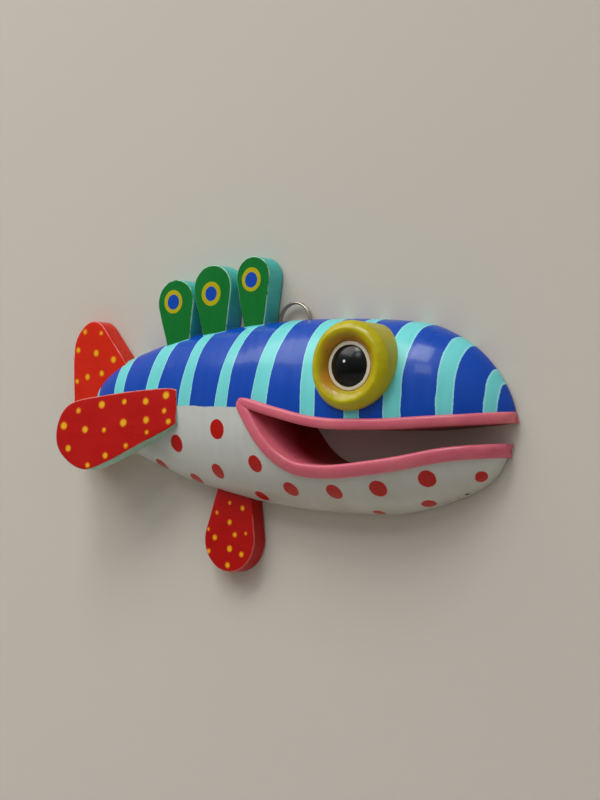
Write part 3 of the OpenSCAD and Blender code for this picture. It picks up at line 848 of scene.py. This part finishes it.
def carved_blank(sizes):
    """The body before it is sawn. Each row is one station's section: the front is the superellipse
    z = middle + half cos(a)^(2/p), y = -depth sin(a)^(2/p) for a from 0 to 180 degrees, then come a
    quarter circle, the flat back and another quarter circle. The front is pushed in and out by the
    unevenness of hand carving, which is less under the belly."""
    rows = curve_through(STATIONS, 22)
    x, top, bottom, depth = (rows[:, k, None] for k in range(4))
    middle = (top + bottom) / 2
    half = (top - bottom) / 2
    edge = np.minimum(BACK_EDGE, 0.45 * np.minimum(depth, half))
    a = np.linspace(0, math.pi, 121)[None]
    out = np.sin(a)
    out[:, [0, -1]] = 0
    front_y = -edge - (depth - edge) * out ** (2 / sizes.fullness)
    front_z = middle + half * power(np.cos(a), 2 / sizes.fullness)
    q = np.linspace(0, math.pi / 2, 6)[None]
    low_y = -edge * (1 - np.sin(q[:, 1:]))
    low_z = middle - half + edge * (1 - np.cos(q[:, 1:]))
    across = np.linspace(-1, 1, 18)[None, 1:-1]
    back_z = middle + across * (half - edge)
    high_y = -edge * (1 - np.cos(q[:, :-1]))
    high_z = middle + half - edge * (1 - np.sin(q[:, :-1]))
    y = np.concatenate([front_y, low_y, np.zeros_like(back_z), high_y], axis=1)
    z = np.concatenate([front_z, low_z, back_z, high_z], axis=1)
    x = np.broadcast_to(x, y.shape)
    carved = 0.28 * MM * smooth(-y / (8 * MM)) * (0.35 + 0.65 * smooth((z + 62 * MM) / (30 * MM)))
    wobble = carved * hand_wobble(x, z, 60 * MM)
    away = unit(np.stack([y, z - middle + 1e-9], axis=-1))
    return with_ends(np.stack([x, y + wobble * away[..., 0], z + wobble * away[..., 1]], axis=-1))


def prism(name, front, back, material_made):
    """A closed block between two outlines with the same number of points."""
    count = len(front)
    corner = np.arange(count)
    beside = np.roll(corner, -1)
    sides = np.stack([corner, beside, beside + count, corner + count], axis=-1).tolist()
    mesh = bpy.data.meshes.new(name)
    mesh.from_pydata(np.concatenate([front, back]).tolist(), [],
                     sides + [corner[::-1].tolist(), (corner + count).tolist()])
    mesh.materials.append(material_made)
    close_up(mesh)
    return show(mesh, name)


def at_plane(outline, y):
    """An outline in x and z as points in the plane at y."""
    return np.insert(outline, 1, y, axis=1)


def mouth_saw(material_made):
    """The sawn mouth: the outline of both mouth edges, pushed along the saw's slant."""
    top = curve_through(MOUTH_TOP, 12)
    bottom = curve_through(MOUTH_BOTTOM, 12)
    outline = np.concatenate([top, bottom[:0:-1]])
    ends = [at_plane(outline + [(y - SAW_FACE) * math.tan(SAW_SLANT), 0], y) for y in (-0.08, 0.02)]
    return prism("mouth_saw", *ends, material_made)


def pocket_router(material_made):
    """The pocket for the hanger: a block with round corners, from its floor to behind the back."""
    q = np.linspace(0, math.pi / 2, 7)
    r = POCKET_CORNER
    low = np.stack([POCKET_HALF - r + r * np.sin(q), POCKET_BOTTOM + r - r * np.cos(q)], axis=-1)
    high = np.array([[POCKET_HALF, POCKET_TOP], [-POCKET_HALF, POCKET_TOP]])
    outline = np.concatenate([low, high, low[::-1] * [-1, 1]])
    return prism("pocket_router", at_plane(outline, -POCKET_DEPTH), at_plane(outline, 0.02), material_made)


def cut(piece, tool):
    """Cuts the tool out of the piece. The cut faces keep the tool's material."""
    modifier = piece.modifiers.new("cut", "BOOLEAN")
    modifier.operation = "DIFFERENCE"
    modifier.object = tool
    modifier.solver = "EXACT"
    modifier.material_mode = "TRANSFER"
    made = bpy.data.meshes.new_from_object(piece.evaluated_get(bpy.context.evaluated_depsgraph_get()))
    piece.modifiers.clear()
    piece.data = made
    bpy.data.objects.remove(tool)


def bare_the_back(piece, slot):
    """Gives the flat back, which is every face that lies in it, the material of a slot."""
    faces = piece.data.polygons
    centre = np.empty(len(faces) * 3)
    faces.foreach_get("center", centre)
    index = np.empty(len(faces), int)
    faces.foreach_get("material_index", index)
    index[centre.reshape(-1, 3)[:, 1] > -0.01 * MM] = slot
    faces.foreach_set("material_index", index)


class FISH_OT_body(Operator):
    """Carve and paint the body, saw its mouth and rout the pocket in its back"""
    bl_idname = "fish.body"
    bl_label = "Carved Body"

    def execute(self, context):
        sizes = context.scene.fish_sizes
        paints = context.scene.fish_paints
        coat = finish("body", body_paint, paints)
        throat = finish("throat", throat_paint, paints)
        wood = finish("wood", bare_wood, paints)
        piece = make_piece("carved_body", [carved_blank(sizes)])
        piece.data.materials.append(coat)
        cut(piece, mouth_saw(throat))
        cut(piece, pocket_router(wood))
        bare_the_back(piece, [s.material for s in piece.material_slots].index(wood))
        piece.data.set_sharp_from_angle(angle=math.radians(40))
        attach(piece, FISH)
        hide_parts("body")
        return {"FINISHED"}


# ---- lips ----

def on_face(points, fullness):
    """Points in x and z, put on the carved face."""
    return np.stack([points[:, 0], face_at(points[:, 0], points[:, 1], fullness), points[:, 1]], axis=-1)


def face_normal(points, fullness):
    """Outward normal of the carved face, from the cross product of a step along it and a step up it."""
    step = 0.5 * MM
    ahead = on_face(points + [step, 0], fullness) - on_face(points - [step, 0], fullness)
    above = on_face(points + [0, step], fullness) - on_face(points - [0, step], fullness)
    return unit(np.cross(ahead, above))


def mouth_edge(rows, nose, fullness):
    """The edge of the sawn mouth on the carved face: its curve moved by the saw's slant along the flank,
    then round the nose in steps that shrink towards the wall."""
    curve = curve_through(rows, 6)
    slant = math.tan(SAW_SLANT)
    x = curve[:, 0] + (face_at(np.minimum(curve[:, 0], nose), curve[:, 1], fullness) - SAW_FACE) * slant
    along = np.stack([x, curve[:, 1]], axis=-1)[x < nose - 17 * MM]
    stops = nose - np.linspace(math.sqrt(15 * MM), math.sqrt(0.3 * MM), 22) ** 2
    saw_x = stops + (SAW_FACE - face_at(stops, np.full(len(stops), rows[NOSE_ROW, 1]), fullness)) * slant
    return np.concatenate([along, np.stack([stops, np.interp(saw_x, curve[:, 0], curve[:, 1])], axis=-1)])


def lip(rows, side, nose, width, sizes):
    """One lip, carried along the edge of the mouth. Its section is a half superellipse of power 2.6 that
    bridges the face from the mouth's edge to the lip's outer edge, then two points sunk in the wood,
    and a strip that folds 6 mm down the sawn wall. The lip narrows to its tip and thins at the nose."""
    edge = mouth_edge(rows, nose, sizes.fullness)
    along = np.gradient(edge, axis=0)
    outward = side * unit(np.stack([-along[:, 1], along[:, 0]], axis=-1))
    middle = edge + outward * width / 2
    t = np.linspace(0, 1, 9)[:-1, None]
    joint = edge[0] + LIP_TIP * (1 - t) + (middle[0] - edge[0]) * t
    spine = np.concatenate([joint, middle])
    lead = unit(middle[0] - joint[0])
    sideways = side * np.array([-lead[1], lead[0]])
    outward = np.concatenate([unit(sideways * (1 - t) + outward[0] * t), outward])
    share = np.concatenate([np.sqrt(np.clip(t * (2 - t), 0, 1)) * 0.8 + 0.2, np.ones((len(edge), 1))])
    reach = share * width / 2
    ends = np.minimum(1, np.arange(len(spine))[::-1] / 9)[:, None] ** 0.7
    uneven = 1 + 0.07 * hand_wobble(spine[:, :1], spine[:, 1:], 25 * MM)
    high = sizes.lip_height * share * (0.25 + 0.75 * ends) * uneven
    top = on_face(spine, sizes.fullness)
    normal = face_normal(spine, sizes.fullness)
    inner = on_face(spine - outward * reach, sizes.fullness)
    outer = on_face(spine + outward * reach, sizes.fullness)
    open_way = unit(inner - outer)
    inner = inner + open_way * 0.3 * MM
    a = np.linspace(0, math.pi, 19)[None, :, None]
    q = power(np.cos(a), 2 / LIP_FULLNESS)
    rise = np.abs(np.sin(a)) ** (2 / LIP_FULLNESS)
    bridge = (top[:, None] + q * (inner - outer)[:, None] / 2
              + q ** 2 * ((inner + outer) / 2 - top)[:, None] + rise * high[:, None] * normal[:, None])
    into = np.array([math.sin(SAW_SLANT), math.cos(SAW_SLANT), 0])
    sunk = outer - normal * 2.5 * MM
    deep = inner - open_way * 1.8 * MM + into * 6 * MM
    fold = inner[:, None] + into * (MM * np.array([6, 4, 2]))[None, :, None]
    grid = np.concatenate([bridge, sunk[:, None], deep[:, None], fold], axis=1)
    grid[..., 1] = np.minimum(grid[..., 1], -0.2 * MM)
    return with_ends(grid)


class FISH_OT_lips(Operator):
    """Lay the upper and the lower lip along the edges of the mouth"""
    bl_idname = "fish.lips"
    bl_label = "Lips"

    def execute(self, context):
        sizes = context.scene.fish_sizes
        pink = finish("lips", lip_paint, context.scene.fish_paints)
        for node, rows, side, nose, width in (
                ("upper_lip", MOUTH_TOP, 1, UPPER_NOSE, sizes.upper_lip),
                ("lower_lip", MOUTH_BOTTOM, -1, LOWER_NOSE, sizes.lower_lip)):
            piece = make_piece("carved_" + node, [lip(rows, side, nose, width, sizes)], sharp=60)
            finish_piece(piece, FISH, [pink], [node])
        return {"FINISHED"}


# ---- board fins ----

def straight(start, end, steps):
    """Straight line between two points, without its end."""
    t = np.linspace(0, 1, steps, endpoint=False)[:, None]
    return start * (1 - t) + end * t


def teardrop(middle, radius, neck, half):
    """Outline of a round end and the two straight sides that touch it and run to the neck."""
    corners = neck + np.array([[-half, 0], [half, 0]]) - middle
    way = 1 if middle[1] > neck[1] else -1
    bearing = np.arctan2(corners[:, 1], corners[:, 0])
    lean = np.arccos(radius / np.linalg.norm(corners, axis=1))
    touch = bearing + way * np.array([-1, 1]) * lean
    turned = np.linspace(touch[1], touch[0] + way * 2 * math.pi, 73)
    round_end = radius * np.stack([np.cos(turned), np.sin(turned)], axis=-1)
    return middle + np.concatenate([
        straight(corners[1], round_end[0], 12), round_end,
        straight(round_end[-1], corners[0], 13)[1:], straight(corners[0], corners[1], 5)])


def board(outline, centre, depth, rounding, back_gap=0.3 * MM):
    """A sawn board with rounded edges, in its own plane with local Z out of its painted face. Its rows
    go from the middle of the face out to the rim, round the edge by a quarter circle, down the side,
    round a smaller quarter circle and back in. The face is crowned by 0.3 mm. Returns the grid and its marks:
    side, which is 0 on the face, 1 on the side and 2 on the back, and edge, which is 1 on the edges."""
    along = np.roll(outline, -1, axis=0) - np.roll(outline, 1, axis=0)
    inward = unit(np.stack([-along[:, 1], along[:, 0]], axis=-1))
    if np.sum(inward * (centre - outline)) < 0:
        inward = -inward
    wobble = 0.22 * MM * hand_wobble(outline[:, :1], outline[:, 1:], 38 * MM)
    outline = outline + inward * (wobble - 0.35 * MM)
    small = 0.7 * MM
    q = np.linspace(0, math.pi / 2, 8)
    s = np.array([0, 0.12, 0.3, 0.5, 0.7, 0.85, 0.95])
    inset = np.concatenate([np.full(7, rounding), rounding * (1 - np.sin(q)), np.zeros(4),
                            small * (1 - np.cos(q)), np.full(4, small)])
    scale = np.concatenate([s, np.ones(20), [0.8, 0.5, 0.2, 0]])
    face = depth + 0.3 * MM * (1 - s ** 2)
    low = back_gap + small
    height = np.concatenate([face, depth - rounding * (1 - np.cos(q)),
                             np.linspace(depth - rounding, low, 6)[1:-1],
                             low - small * np.sin(q), np.full(4, back_gap)])
    side = np.concatenate([np.zeros(7), q * 2 / math.pi, np.ones(4), 1 + q * 2 / math.pi, np.full(4, 2)])
    edge = np.concatenate([np.zeros(7), np.sin(2 * q) ** 0.5, np.zeros(4), np.sin(2 * q) ** 0.5, np.zeros(4)])
    rim = outline[None] + inward[None] * inset[:, None, None]
    flat = centre + (rim - centre) * scale[:, None, None]
    lift = 0.16 * MM * hand_wobble(flat[..., 0], flat[..., 1], 45 * MM) * (side < 1)[:, None]
    grid = np.concatenate([flat, (height[:, None] + lift)[..., None]], axis=-1)
    grid[0] = grid[0, 0]
    marks = {name: np.broadcast_to(values[:, None], grid.shape[:2]).copy()
             for name, values in (("side", side), ("edge", edge))}
    return grid, marks


def standing(grid):
    """Local x, y, z of a board turned upright: its painted face looks along -Y."""
    return np.stack([grid[..., 0], -grid[..., 2], grid[..., 1]], axis=-1)


def splayed(grid, depth):
    """A board's place as the pectoral fin: hung by its end on the flank, splayed and leaned."""
    turned = turn("Z", PECTORAL_SPLAY) @ turn("X", 90 - PECTORAL_LEAN)
    return PECTORAL_AT + (grid - [0, 0, depth]) @ turned.T


class FISH_OT_dorsal_fins(Operator):
    """Cut and paint the three green dorsal fins"""
    bl_idname = "fish.dorsal_fins"
    bl_label = "Dorsal Fins"

    def execute(self, context):
        sizes = context.scene.fish_sizes
        paints = context.scene.fish_paints
        for node, shape in DORSALS.items():
            grid, marks = board(teardrop(*shape), shape[0], sizes.dorsal_depth, sizes.rounding)
            marks["above"] = grid[..., 1] - back_at(grid[..., 0], -grid[..., 2], sizes.fullness)
            piece = make_piece("painted_" + node, [standing(grid)], marks)
            coat = finish(node, green_board, "paint_" + node, paints, DORSAL_DOTS[node])
            finish_piece(piece, FISH, [coat], [node])
        return {"FINISHED"}


class FISH_OT_red_fins(Operator):
    """Cut and paint the tail fin, the ventral fin and the pectoral fin"""
    bl_idname = "fish.red_fins"
    bl_label = "Red Fins"

    def execute(self, context):
        sizes = context.scene.fish_sizes
        paints = context.scene.fish_paints
        rounding = sizes.rounding
        tail, tail_marks = board(curve_through(TAIL, 14, closed=True), TAIL_MIDDLE,
                                 sizes.tail_depth, rounding)
        ventral, ventral_marks = board(teardrop(*VENTRAL), VENTRAL[0], sizes.ventral_depth, rounding)
        pectoral, pectoral_marks = board(curve_through(PECTORAL, 12, closed=True), PECTORAL_MIDDLE,
                                         sizes.pectoral_depth, rounding)
        flat = np.insert(PECTORAL_DOTS[:, :2], 2, sizes.pectoral_depth, axis=1)
        tail_dots = np.concatenate([at_plane(TAIL_DOTS[:, :2], -sizes.tail_depth), TAIL_SIDE_DOT[:, :3]])
        tail_radii = np.concatenate([TAIL_DOTS[:, 2], TAIL_SIDE_DOT[:, 3]])
        # The tail's lighter red and the ventral fin's darker red are painted light and shade on one red
        plans = (
            ("tail_fin", standing(tail), tail_marks, tail_dots, tail_radii,
             paints.lit_tail_red, paints.lit_tail_red),
            ("ventral_fin", standing(ventral), ventral_marks,
             at_plane(VENTRAL_DOTS[:, :2], -sizes.ventral_depth), VENTRAL_DOTS[:, 2],
             paints.shaded_ventral_red, paints.shaded_ventral_red),
            ("pectoral_fin", splayed(pectoral, sizes.pectoral_depth), pectoral_marks,
             splayed(flat, sizes.pectoral_depth), PECTORAL_DOTS[:, 2], paints.red,
             paints.pale_green))
        for node, grid, marks, centres, radii, red, side_color in plans:
            piece = make_piece("painted_" + node, [grid], marks)
            coat = finish(node, red_board, "paint_" + node, list(red), list(side_color), list(paints.amber),
                          centres, radii)
            finish_piece(piece, FISH, [coat], [node])
        return {"FINISHED"}


# ---- eye ----

def looking_out(grid):
    """Local Z of a turned piece, pointed out of the eye."""
    return EYE_AT + grid @ (turn("Z", EYE_TURN) @ turn("X", 90)).T


def eye_ring(sizes):
    """The eye's ring, turned: a straight side, then a rim that rises to the crest and a bowl that falls to
    the white. Both are quarters of a superellipse: crest radius plus or minus reach times cos(q)^(2/p), and
    crest height times sin(q)^(2/p). Its face is a little lumpy. Returns the grid and its marks: dish, which
    goes from 0 at the crest to 1 at the white."""
    q = np.linspace(0, math.pi / 2, 16)
    crest_r, crest_h = DISH_CREST
    flatter = 2 / RIM_FULLNESS
    outer = crest_r + (sizes.eye_radius - crest_r) * power(np.cos(q), flatter)
    rim = np.stack([outer, crest_h * np.sin(q) ** flatter], axis=-1)
    inner = crest_r - (crest_r - sizes.white_radius) * np.sin(q[1:]) ** flatter
    bowl = np.stack([inner, crest_h * power(np.cos(q[1:]), flatter)], axis=-1)
    side = np.stack([np.full(9, sizes.eye_radius), np.linspace(RING_FOOT, -4 * MM, 9)], axis=-1)
    profile = np.concatenate([[[0, RING_FOOT]], side, rim, bowl,
                              [[sizes.white_radius - 0.1 * MM, DISH_FLOOR], [0, DISH_FLOOR]]])
    grid = revolved(profile, 144, 0.02)
    dish = np.concatenate([np.zeros(len(side) + 1), np.zeros(len(rim)), np.sin(q[1:]), [1, 1]])
    marks = {"dish": np.broadcast_to(dish[:, None], grid.shape[:2]).copy()}
    lumps = hand_wobble(grid[..., 0], grid[..., 1], 24 * MM)
    grid[..., 2] += 0.35 * MM * lumps * smooth(grid[..., 2] / MM / 4)
    return grid, marks


def eye_white(sizes):
    """The white, turned: a disc whose edge is a quarter circle of 0.9 mm and whose face falls 0.3 mm to its
    middle. Returns the grid and its marks: reach, which is the distance from the middle."""
    q = np.linspace(0, math.pi / 2, 16)
    r = sizes.white_radius
    edge = 0.9 * MM
    bead = np.stack([r - edge + edge * np.cos(q), -0.5 * MM + edge * np.sin(q)], axis=-1)
    flat = np.stack([np.linspace(r - edge, 0, 9)[1:], np.linspace(0.4, 0.1, 9)[1:] * MM], axis=-1)
    profile = np.concatenate([[[0, -2.9 * MM], [r, -2.9 * MM]], bead, flat])
    grid = revolved(profile, 128, 0.008)
    return grid, {"reach": np.broadcast_to(profile[:, :1], grid.shape[:2]).copy()}


def eye_pupil(sizes):
    """The pupil: a cap of the ball whose radius is (r^2 + h^2) / 2h, for a cap r wide and h high, on a thin
    foot that is sunk in the white."""
    r = sizes.pupil_radius
    high = sizes.pupil_height
    ball = (r * r + high * high) / (2 * high)
    dome_r = r * np.sin(np.linspace(0, math.pi / 2, 28))[::-1]
    dome = np.stack([dome_r, np.sqrt(ball ** 2 - dome_r ** 2) + high - ball], axis=-1)
    profile = np.concatenate([[[0, -1 * MM], [r - 0.2 * MM, -1 * MM], [r, 0]], dome[1:]])
    return revolved(profile, 128, 0.008), {}


class FISH_OT_eye(Operator):
    """Turn and paint the eye ring, the white and the pupil"""
    bl_idname = "fish.eye"
    bl_label = "Turned Eye"

    def execute(self, context):
        paints = context.scene.fish_paints
        for name, shape, coat, slot, node in (
                ("turned_eye_ring", eye_ring, eye_ring_paint, "paint_yellow", "eye_ring"),
                ("painted_eye_white", eye_white, eye_white_paint, "paint_white", "eye_white"),
                ("domed_pupil", eye_pupil, pupil_paint, "paint_black", "eye_pupil")):
            grid, marks = shape(context.scene.fish_sizes)
            piece = make_piece(name, [looking_out(grid)], marks)
            finish_piece(piece, FISH, [finish(node, coat, paints)], [node])
        return {"FINISHED"}


# ---- dowels, hanger and ring ----

class FISH_OT_dowels(Operator):
    """Give the hidden dowels and the eye's peg their bare wood"""
    bl_idname = "fish.dowels"
    bl_label = "Dowels"

    def execute(self, context):
        wood = finish("wood", bare_wood, context.scene.fish_paints)
        for node in ("dorsal_dowels", "ventral_dowels", "tail_dowels", "pectoral_dowels", "eye_peg"):
            for slot in frame["nodes"][node].material_slots:
                slot.material = wood
        return {"FINISHED"}


def rounded_rectangle(half_x, half_z, radius):
    """Outline with four quarter circles at its corners."""
    q = np.linspace(0, math.pi / 2, 8)
    quarter = radius * np.stack([np.cos(q), np.sin(q)], axis=-1)
    corners = []
    for k, (sx, sz) in enumerate(((1, 1), (-1, 1), (-1, -1), (1, -1))):
        turned = quarter @ np.array(Matrix.Rotation(-k * math.pi / 2, 2))
        corners.append(turned + [sx * (half_x - radius), sz * (half_z - radius)])
    return np.concatenate(corners)


def tongue(hinge):
    """The plate's tongue: a flat strip carried up the plate and round the hinge line. Its section is a
    superellipse of power 6, 8 mm wide and 1 mm thick."""
    rise = np.linspace(TONGUE_START, hinge[2], 8)[:-1]
    upward = np.stack([np.full(len(rise), hinge[1] - TONGUE_REACH), rise], axis=-1)
    turned = np.radians(np.linspace(180, -150, 46))
    curl = hinge[1:] + TONGUE_REACH * np.stack([np.cos(turned), np.sin(turned)], axis=-1)
    path = np.concatenate([upward, curl])
    ahead = unit(np.gradient(path, axis=0))
    normal = np.stack([-ahead[:, 1], ahead[:, 0]], axis=-1)
    a = np.linspace(0, 2 * math.pi, 40, endpoint=False)[None]
    x = np.broadcast_to(TONGUE_HALF * power(np.cos(a), 1 / 3), (len(path), a.size))
    thick = PLATE_THICK / 2 * power(np.sin(a), 1 / 3)
    y = path[:, :1] + normal[:, :1] * thick
    z = path[:, 1:] + normal[:, 1:] * thick
    return with_ends(np.stack([x, y, z], axis=-1))


def pan_screw(x, z):
    """A wood screw with a domed head and a cross slot. The head's height over the plate is a dome,
    1.1 + 0.7 (1 - (r/R)^2) mm, less a cross whose arms fade out at their sides and ends. The shank's
    radius goes in and out as a thread and tapers to a point."""
    sides = 96
    t = np.arange(sides) * 2 * math.pi / sides
    head_r = 3 * MM
    r = np.linspace(0, head_r * 0.93, 26)[:, None]
    dome = 1.1 * MM + 0.7 * MM * (1 - (r / head_r) ** 2)
    arm = np.minimum(np.abs(r * np.cos(t)), np.abs(r * np.sin(t)))
    cross = smooth((0.55 * MM - arm) / (0.25 * MM)) * smooth((1.9 * MM - r) / (0.4 * MM))
    head = np.stack([r * np.cos(t), dome - 0.9 * MM * cross, r * np.sin(t)], axis=-1)
    turns = np.linspace(0, 1, 60)
    core = 1.45 * MM * (1 - smooth((turns - 0.75) * 4) * 0.85)
    thread = core * (1 + 0.06 * np.sin(turns * THREADS * 2 * math.pi))
    shank = np.stack([thread, -turns * SCREW_LENGTH], axis=-1)
    rim = MM * np.array([[2.95, 0.95], [3, 0.7], [3, 0.05], [2.9, 0]])
    lathe = revolved(np.concatenate([rim, shank]), sides)[..., [0, 2, 1]]
    return with_ends(np.concatenate([head, lathe]))[1:] + [x, -POCKET_DEPTH + PLATE_THICK, z]


def split_ring(hinge, sizes):
    """Split ring: a wire wound twice round a circle in the plane of the wall. Along the wire, t goes
    from its start to its end over nearly two turns. The wire lies half its thickness in front of the
    middle plane in the first turn and behind it in the second, and crosses over smoothly between them.
    Its ends are cut and slightly rounded."""
    start = math.radians(-60)
    gap = math.radians(17)
    t = np.linspace(start + gap, start + 4 * math.pi - gap, 420)
    turned = (t - start) / (2 * math.pi)
    layer = smooth((turned - 1) / 0.07 + 0.5) * 2 - 1
    wire = sizes.wire / 2
    taper = np.minimum(1, np.minimum(np.arange(len(t)), np.arange(len(t))[::-1]) / 3 * 0.4 + 0.6)
    outward = np.stack([np.cos(t), np.zeros_like(t), np.sin(t)], axis=-1)
    centre = hinge + [0, 0, sizes.ring_radius]
    middle = centre + outward * sizes.ring_radius
    middle[:, 1] += layer * wire * 1.01
    a = (np.arange(20) * 2 * math.pi / 20)[None, :, None]
    spread = np.cos(a) * outward[:, None] + np.sin(a) * np.array([0, 1, 0])
    return with_ends(middle[:, None] + spread * (wire * taper)[:, None, None])


class FISH_OT_hanger(Operator):
    """Make the plate with its rolled tongue and the two screws in the pocket"""
    bl_idname = "fish.hanger"
    bl_label = "Hanger Plate and Screws"

    def execute(self, context):
        hinge = np.array(frame["joints"][0]["pos_m"])
        zinc = finish("zinc", steel, "zinc_plate", (0.62, 0.63, 0.62, 1), 0.26)
        outline = rounded_rectangle(PLATE[0], PLATE[1], 2 * MM) + [0, PLATE[2]]
        grid = board(outline, np.array([0, PLATE[2]]), PLATE_THICK, 0.25 * MM, back_gap=0)[0]
        flat = np.minimum(grid[..., 2], PLATE_THICK)
        facing_back = np.stack([grid[..., 0], flat - POCKET_DEPTH, grid[..., 1]], axis=-1)
        plate = make_piece("zinc_hanger_plate", [facing_back, tongue(hinge)])
        finish_piece(plate, FISH, [zinc], ["hanger_plate"])
        screws = make_piece("pan_head_screws", [pan_screw(*place) for place in SCREWS])
        finish_piece(screws, FISH, [zinc], ["hanger_screws"])
        return {"FINISHED"}


class FISH_OT_ring(Operator):
    """Wind the split ring that the fish hangs by"""
    bl_idname = "fish.ring"
    bl_label = "Hanging Ring"

    def execute(self, context):
        hinge = np.array(frame["joints"][0]["pos_m"])
        nickel = finish("nickel", steel, "nickel_wire", (0.44, 0.39, 0.33, 1), 0.2)
        ring = make_piece("wound_split_ring", [split_ring(hinge, context.scene.fish_sizes)], sharp=60)
        finish_piece(ring, RING, [nickel], ["hanging_ring"])
        return {"FINISHED"}


# ---- stage ----

def bearing(azimuth, elevation):
    """Direction from the fish: azimuth 0 looks at its face, and 90 at its nose."""
    a = math.radians(azimuth)
    e = math.radians(elevation)
    return Vector((math.sin(a) * math.cos(e), -math.cos(a) * math.cos(e), math.sin(e)))


def aimed(thing, target, azimuth, elevation, distance):
    """Puts a light or camera at a bearing from the target and turns it to look there."""
    placed = show(thing, thing.name)
    way = bearing(azimuth, elevation)
    placed.location = Vector(target) + way * distance
    placed.rotation_mode = "QUATERNION"
    placed.rotation_quaternion = (-way).to_track_quat("-Z", "Y")
    return placed


def soft_light(name, target, azimuth, elevation, distance, size, power_w, color=(1, 1, 1)):
    """One rectangular studio light."""
    light = bpy.data.lights.new(name, "AREA")
    light.shape = "RECTANGLE"
    light.size, light.size_y = size
    light.energy = power_w
    light.color = color
    return aimed(light, target, azimuth, elevation, distance)


def pale_stage_paint():
    """Plain matt paint. It is clear from behind, and to every ray that has come through it, so that the
    back of the fish can be seen and lit."""
    made = bpy.data.materials.new("pale_wall")
    made.use_nodes = True
    made.node_tree.nodes.clear()
    w = Wiring(made.node_tree)
    matt = w.node("ShaderNodeBsdfDiffuse", {"Color": STAGE_COLOR, "Roughness": 0.9})
    clear = w.node("ShaderNodeBsdfTransparent")
    behind = w.node("ShaderNodeNewGeometry").outputs["Backfacing"]
    path = w.node("ShaderNodeLightPath").outputs
    see = w.maths("MAXIMUM", behind, w.maths("GREATER_THAN", path["Transparent Depth"], 0.5))
    surface = w.node("ShaderNodeMixShader")
    w.feed(surface.inputs[0], see)
    w.feed(surface.inputs[1], matt.outputs["BSDF"])
    w.feed(surface.inputs[2], clear.outputs["BSDF"])
    w.node("ShaderNodeOutputMaterial", {"Surface": surface.outputs["Shader"]})
    return made


def sheet(name, corners, material_made):
    """One flat face of the stage."""
    mesh = bpy.data.meshes.new(name)
    mesh.from_pydata(corners, [], [(0, 1, 2, 3)])
    mesh.materials.append(material_made)
    placed = show(mesh, name)


class FISH_OT_stage(Operator):
    """Set up the pale wall and floor, the soft lights and the camera"""
    bl_idname = "fish.stage"
    bl_label = "Stage"

    def execute(self, context):
        scene = context.scene
        side = STAGE_REACH
        low = STAGE_FLOOR
        sheet("stage_wall", [(-side, WALL_GAP, low), (side, WALL_GAP, low),
                             (side, WALL_GAP, STAGE_TOP), (-side, WALL_GAP, STAGE_TOP)], pale_stage_paint())
        floor_paint, _, shader, _ = material("pale_floor")
        shader.inputs["Base Color"].default_value = STAGE_COLOR
        shader.inputs["Roughness"].default_value = 0.8
        sheet("stage_floor", [(-side, -side, low), (side, -side, low), (side, side, low), (-side, side, low)],
              floor_paint)
        head = (0.129, -0.031, 0.026)
        middle = (0.0, -0.02, 0.0)
        soft_light("key", middle, -40, 50, 2.6, (2.1, 1.6), 38, (1.0, 0.97, 0.93))
        soft_light("window_high", head, -1, 60, 1.9, (0.50, 0.74), 11, (0.95, 0.98, 1.0))
        soft_light("window_low", head, 7, 38, 1.9, (0.46, 0.40), 2.6, (0.95, 0.98, 1.0))
        soft_light("behind", middle, 190, 40, 2.6, (1.6, 1.6), 26)
        world = bpy.data.worlds.new("studio")
        world.use_nodes = True
        w = Wiring(world.node_tree)
        upward = w.split(w.node("ShaderNodeTexCoord").outputs["Generated"])["Z"]
        sky = w.mix(w.ramp(upward, -0.5, 0.6), (0.08, 0.07, 0.06, 1), (0.36, 0.37, 0.38, 1))
        w.feed(world.node_tree.nodes["Background"].inputs["Color"], sky)
        scene.world = world
        scene.view_settings.view_transform = "Standard"
        lens = bpy.data.cameras.new("camera")
        lens.lens = 90
        lens.sensor_width = 36
        scene.camera = aimed(lens, (0.024, -0.030, 0.003), 37.5, -3.3, 1.39)
        return {"FINISHED"}


class FISH_PT_panel(Panel):
    """Lists the fish's pieces, sizes and paints"""
    bl_idname = "FISH_PT_panel"
    bl_label = "Painted Fish"
    bl_space_type = "VIEW_3D"
    bl_region_type = "UI"
    bl_category = "Fish"

    def draw(self, context):
        for step in STEPS:
            self.layout.operator(step.bl_idname)
        for group in (context.scene.fish_sizes, context.scene.fish_paints):
            for name in group.__annotations__:
                self.layout.prop(group, name)


STEPS = (FISH_OT_stage, FISH_OT_body, FISH_OT_lips, FISH_OT_dorsal_fins, FISH_OT_red_fins, FISH_OT_eye,
         FISH_OT_dowels, FISH_OT_hanger, FISH_OT_ring)
CLASSES = (FishSizes, FishPaints, *STEPS, FISH_PT_panel)


def register():
    for one in CLASSES:
        bpy.utils.register_class(one)
    bpy.types.Scene.fish_sizes = PointerProperty(type=FishSizes)
    bpy.types.Scene.fish_paints = PointerProperty(type=FishPaints)


def unregister():
    del bpy.types.Scene.fish_paints
    del bpy.types.Scene.fish_sizes
    for one in reversed(CLASSES):
        bpy.utils.unregister_class(one)


def main():
    """Builds the fish and its stage."""
    register()
    for step in STEPS:
        group, name = step.bl_idname.split(".")
        getattr(getattr(bpy.ops, group), name)()
    bpy.context.view_layer.update()


if __name__ == "__main__":
    main()
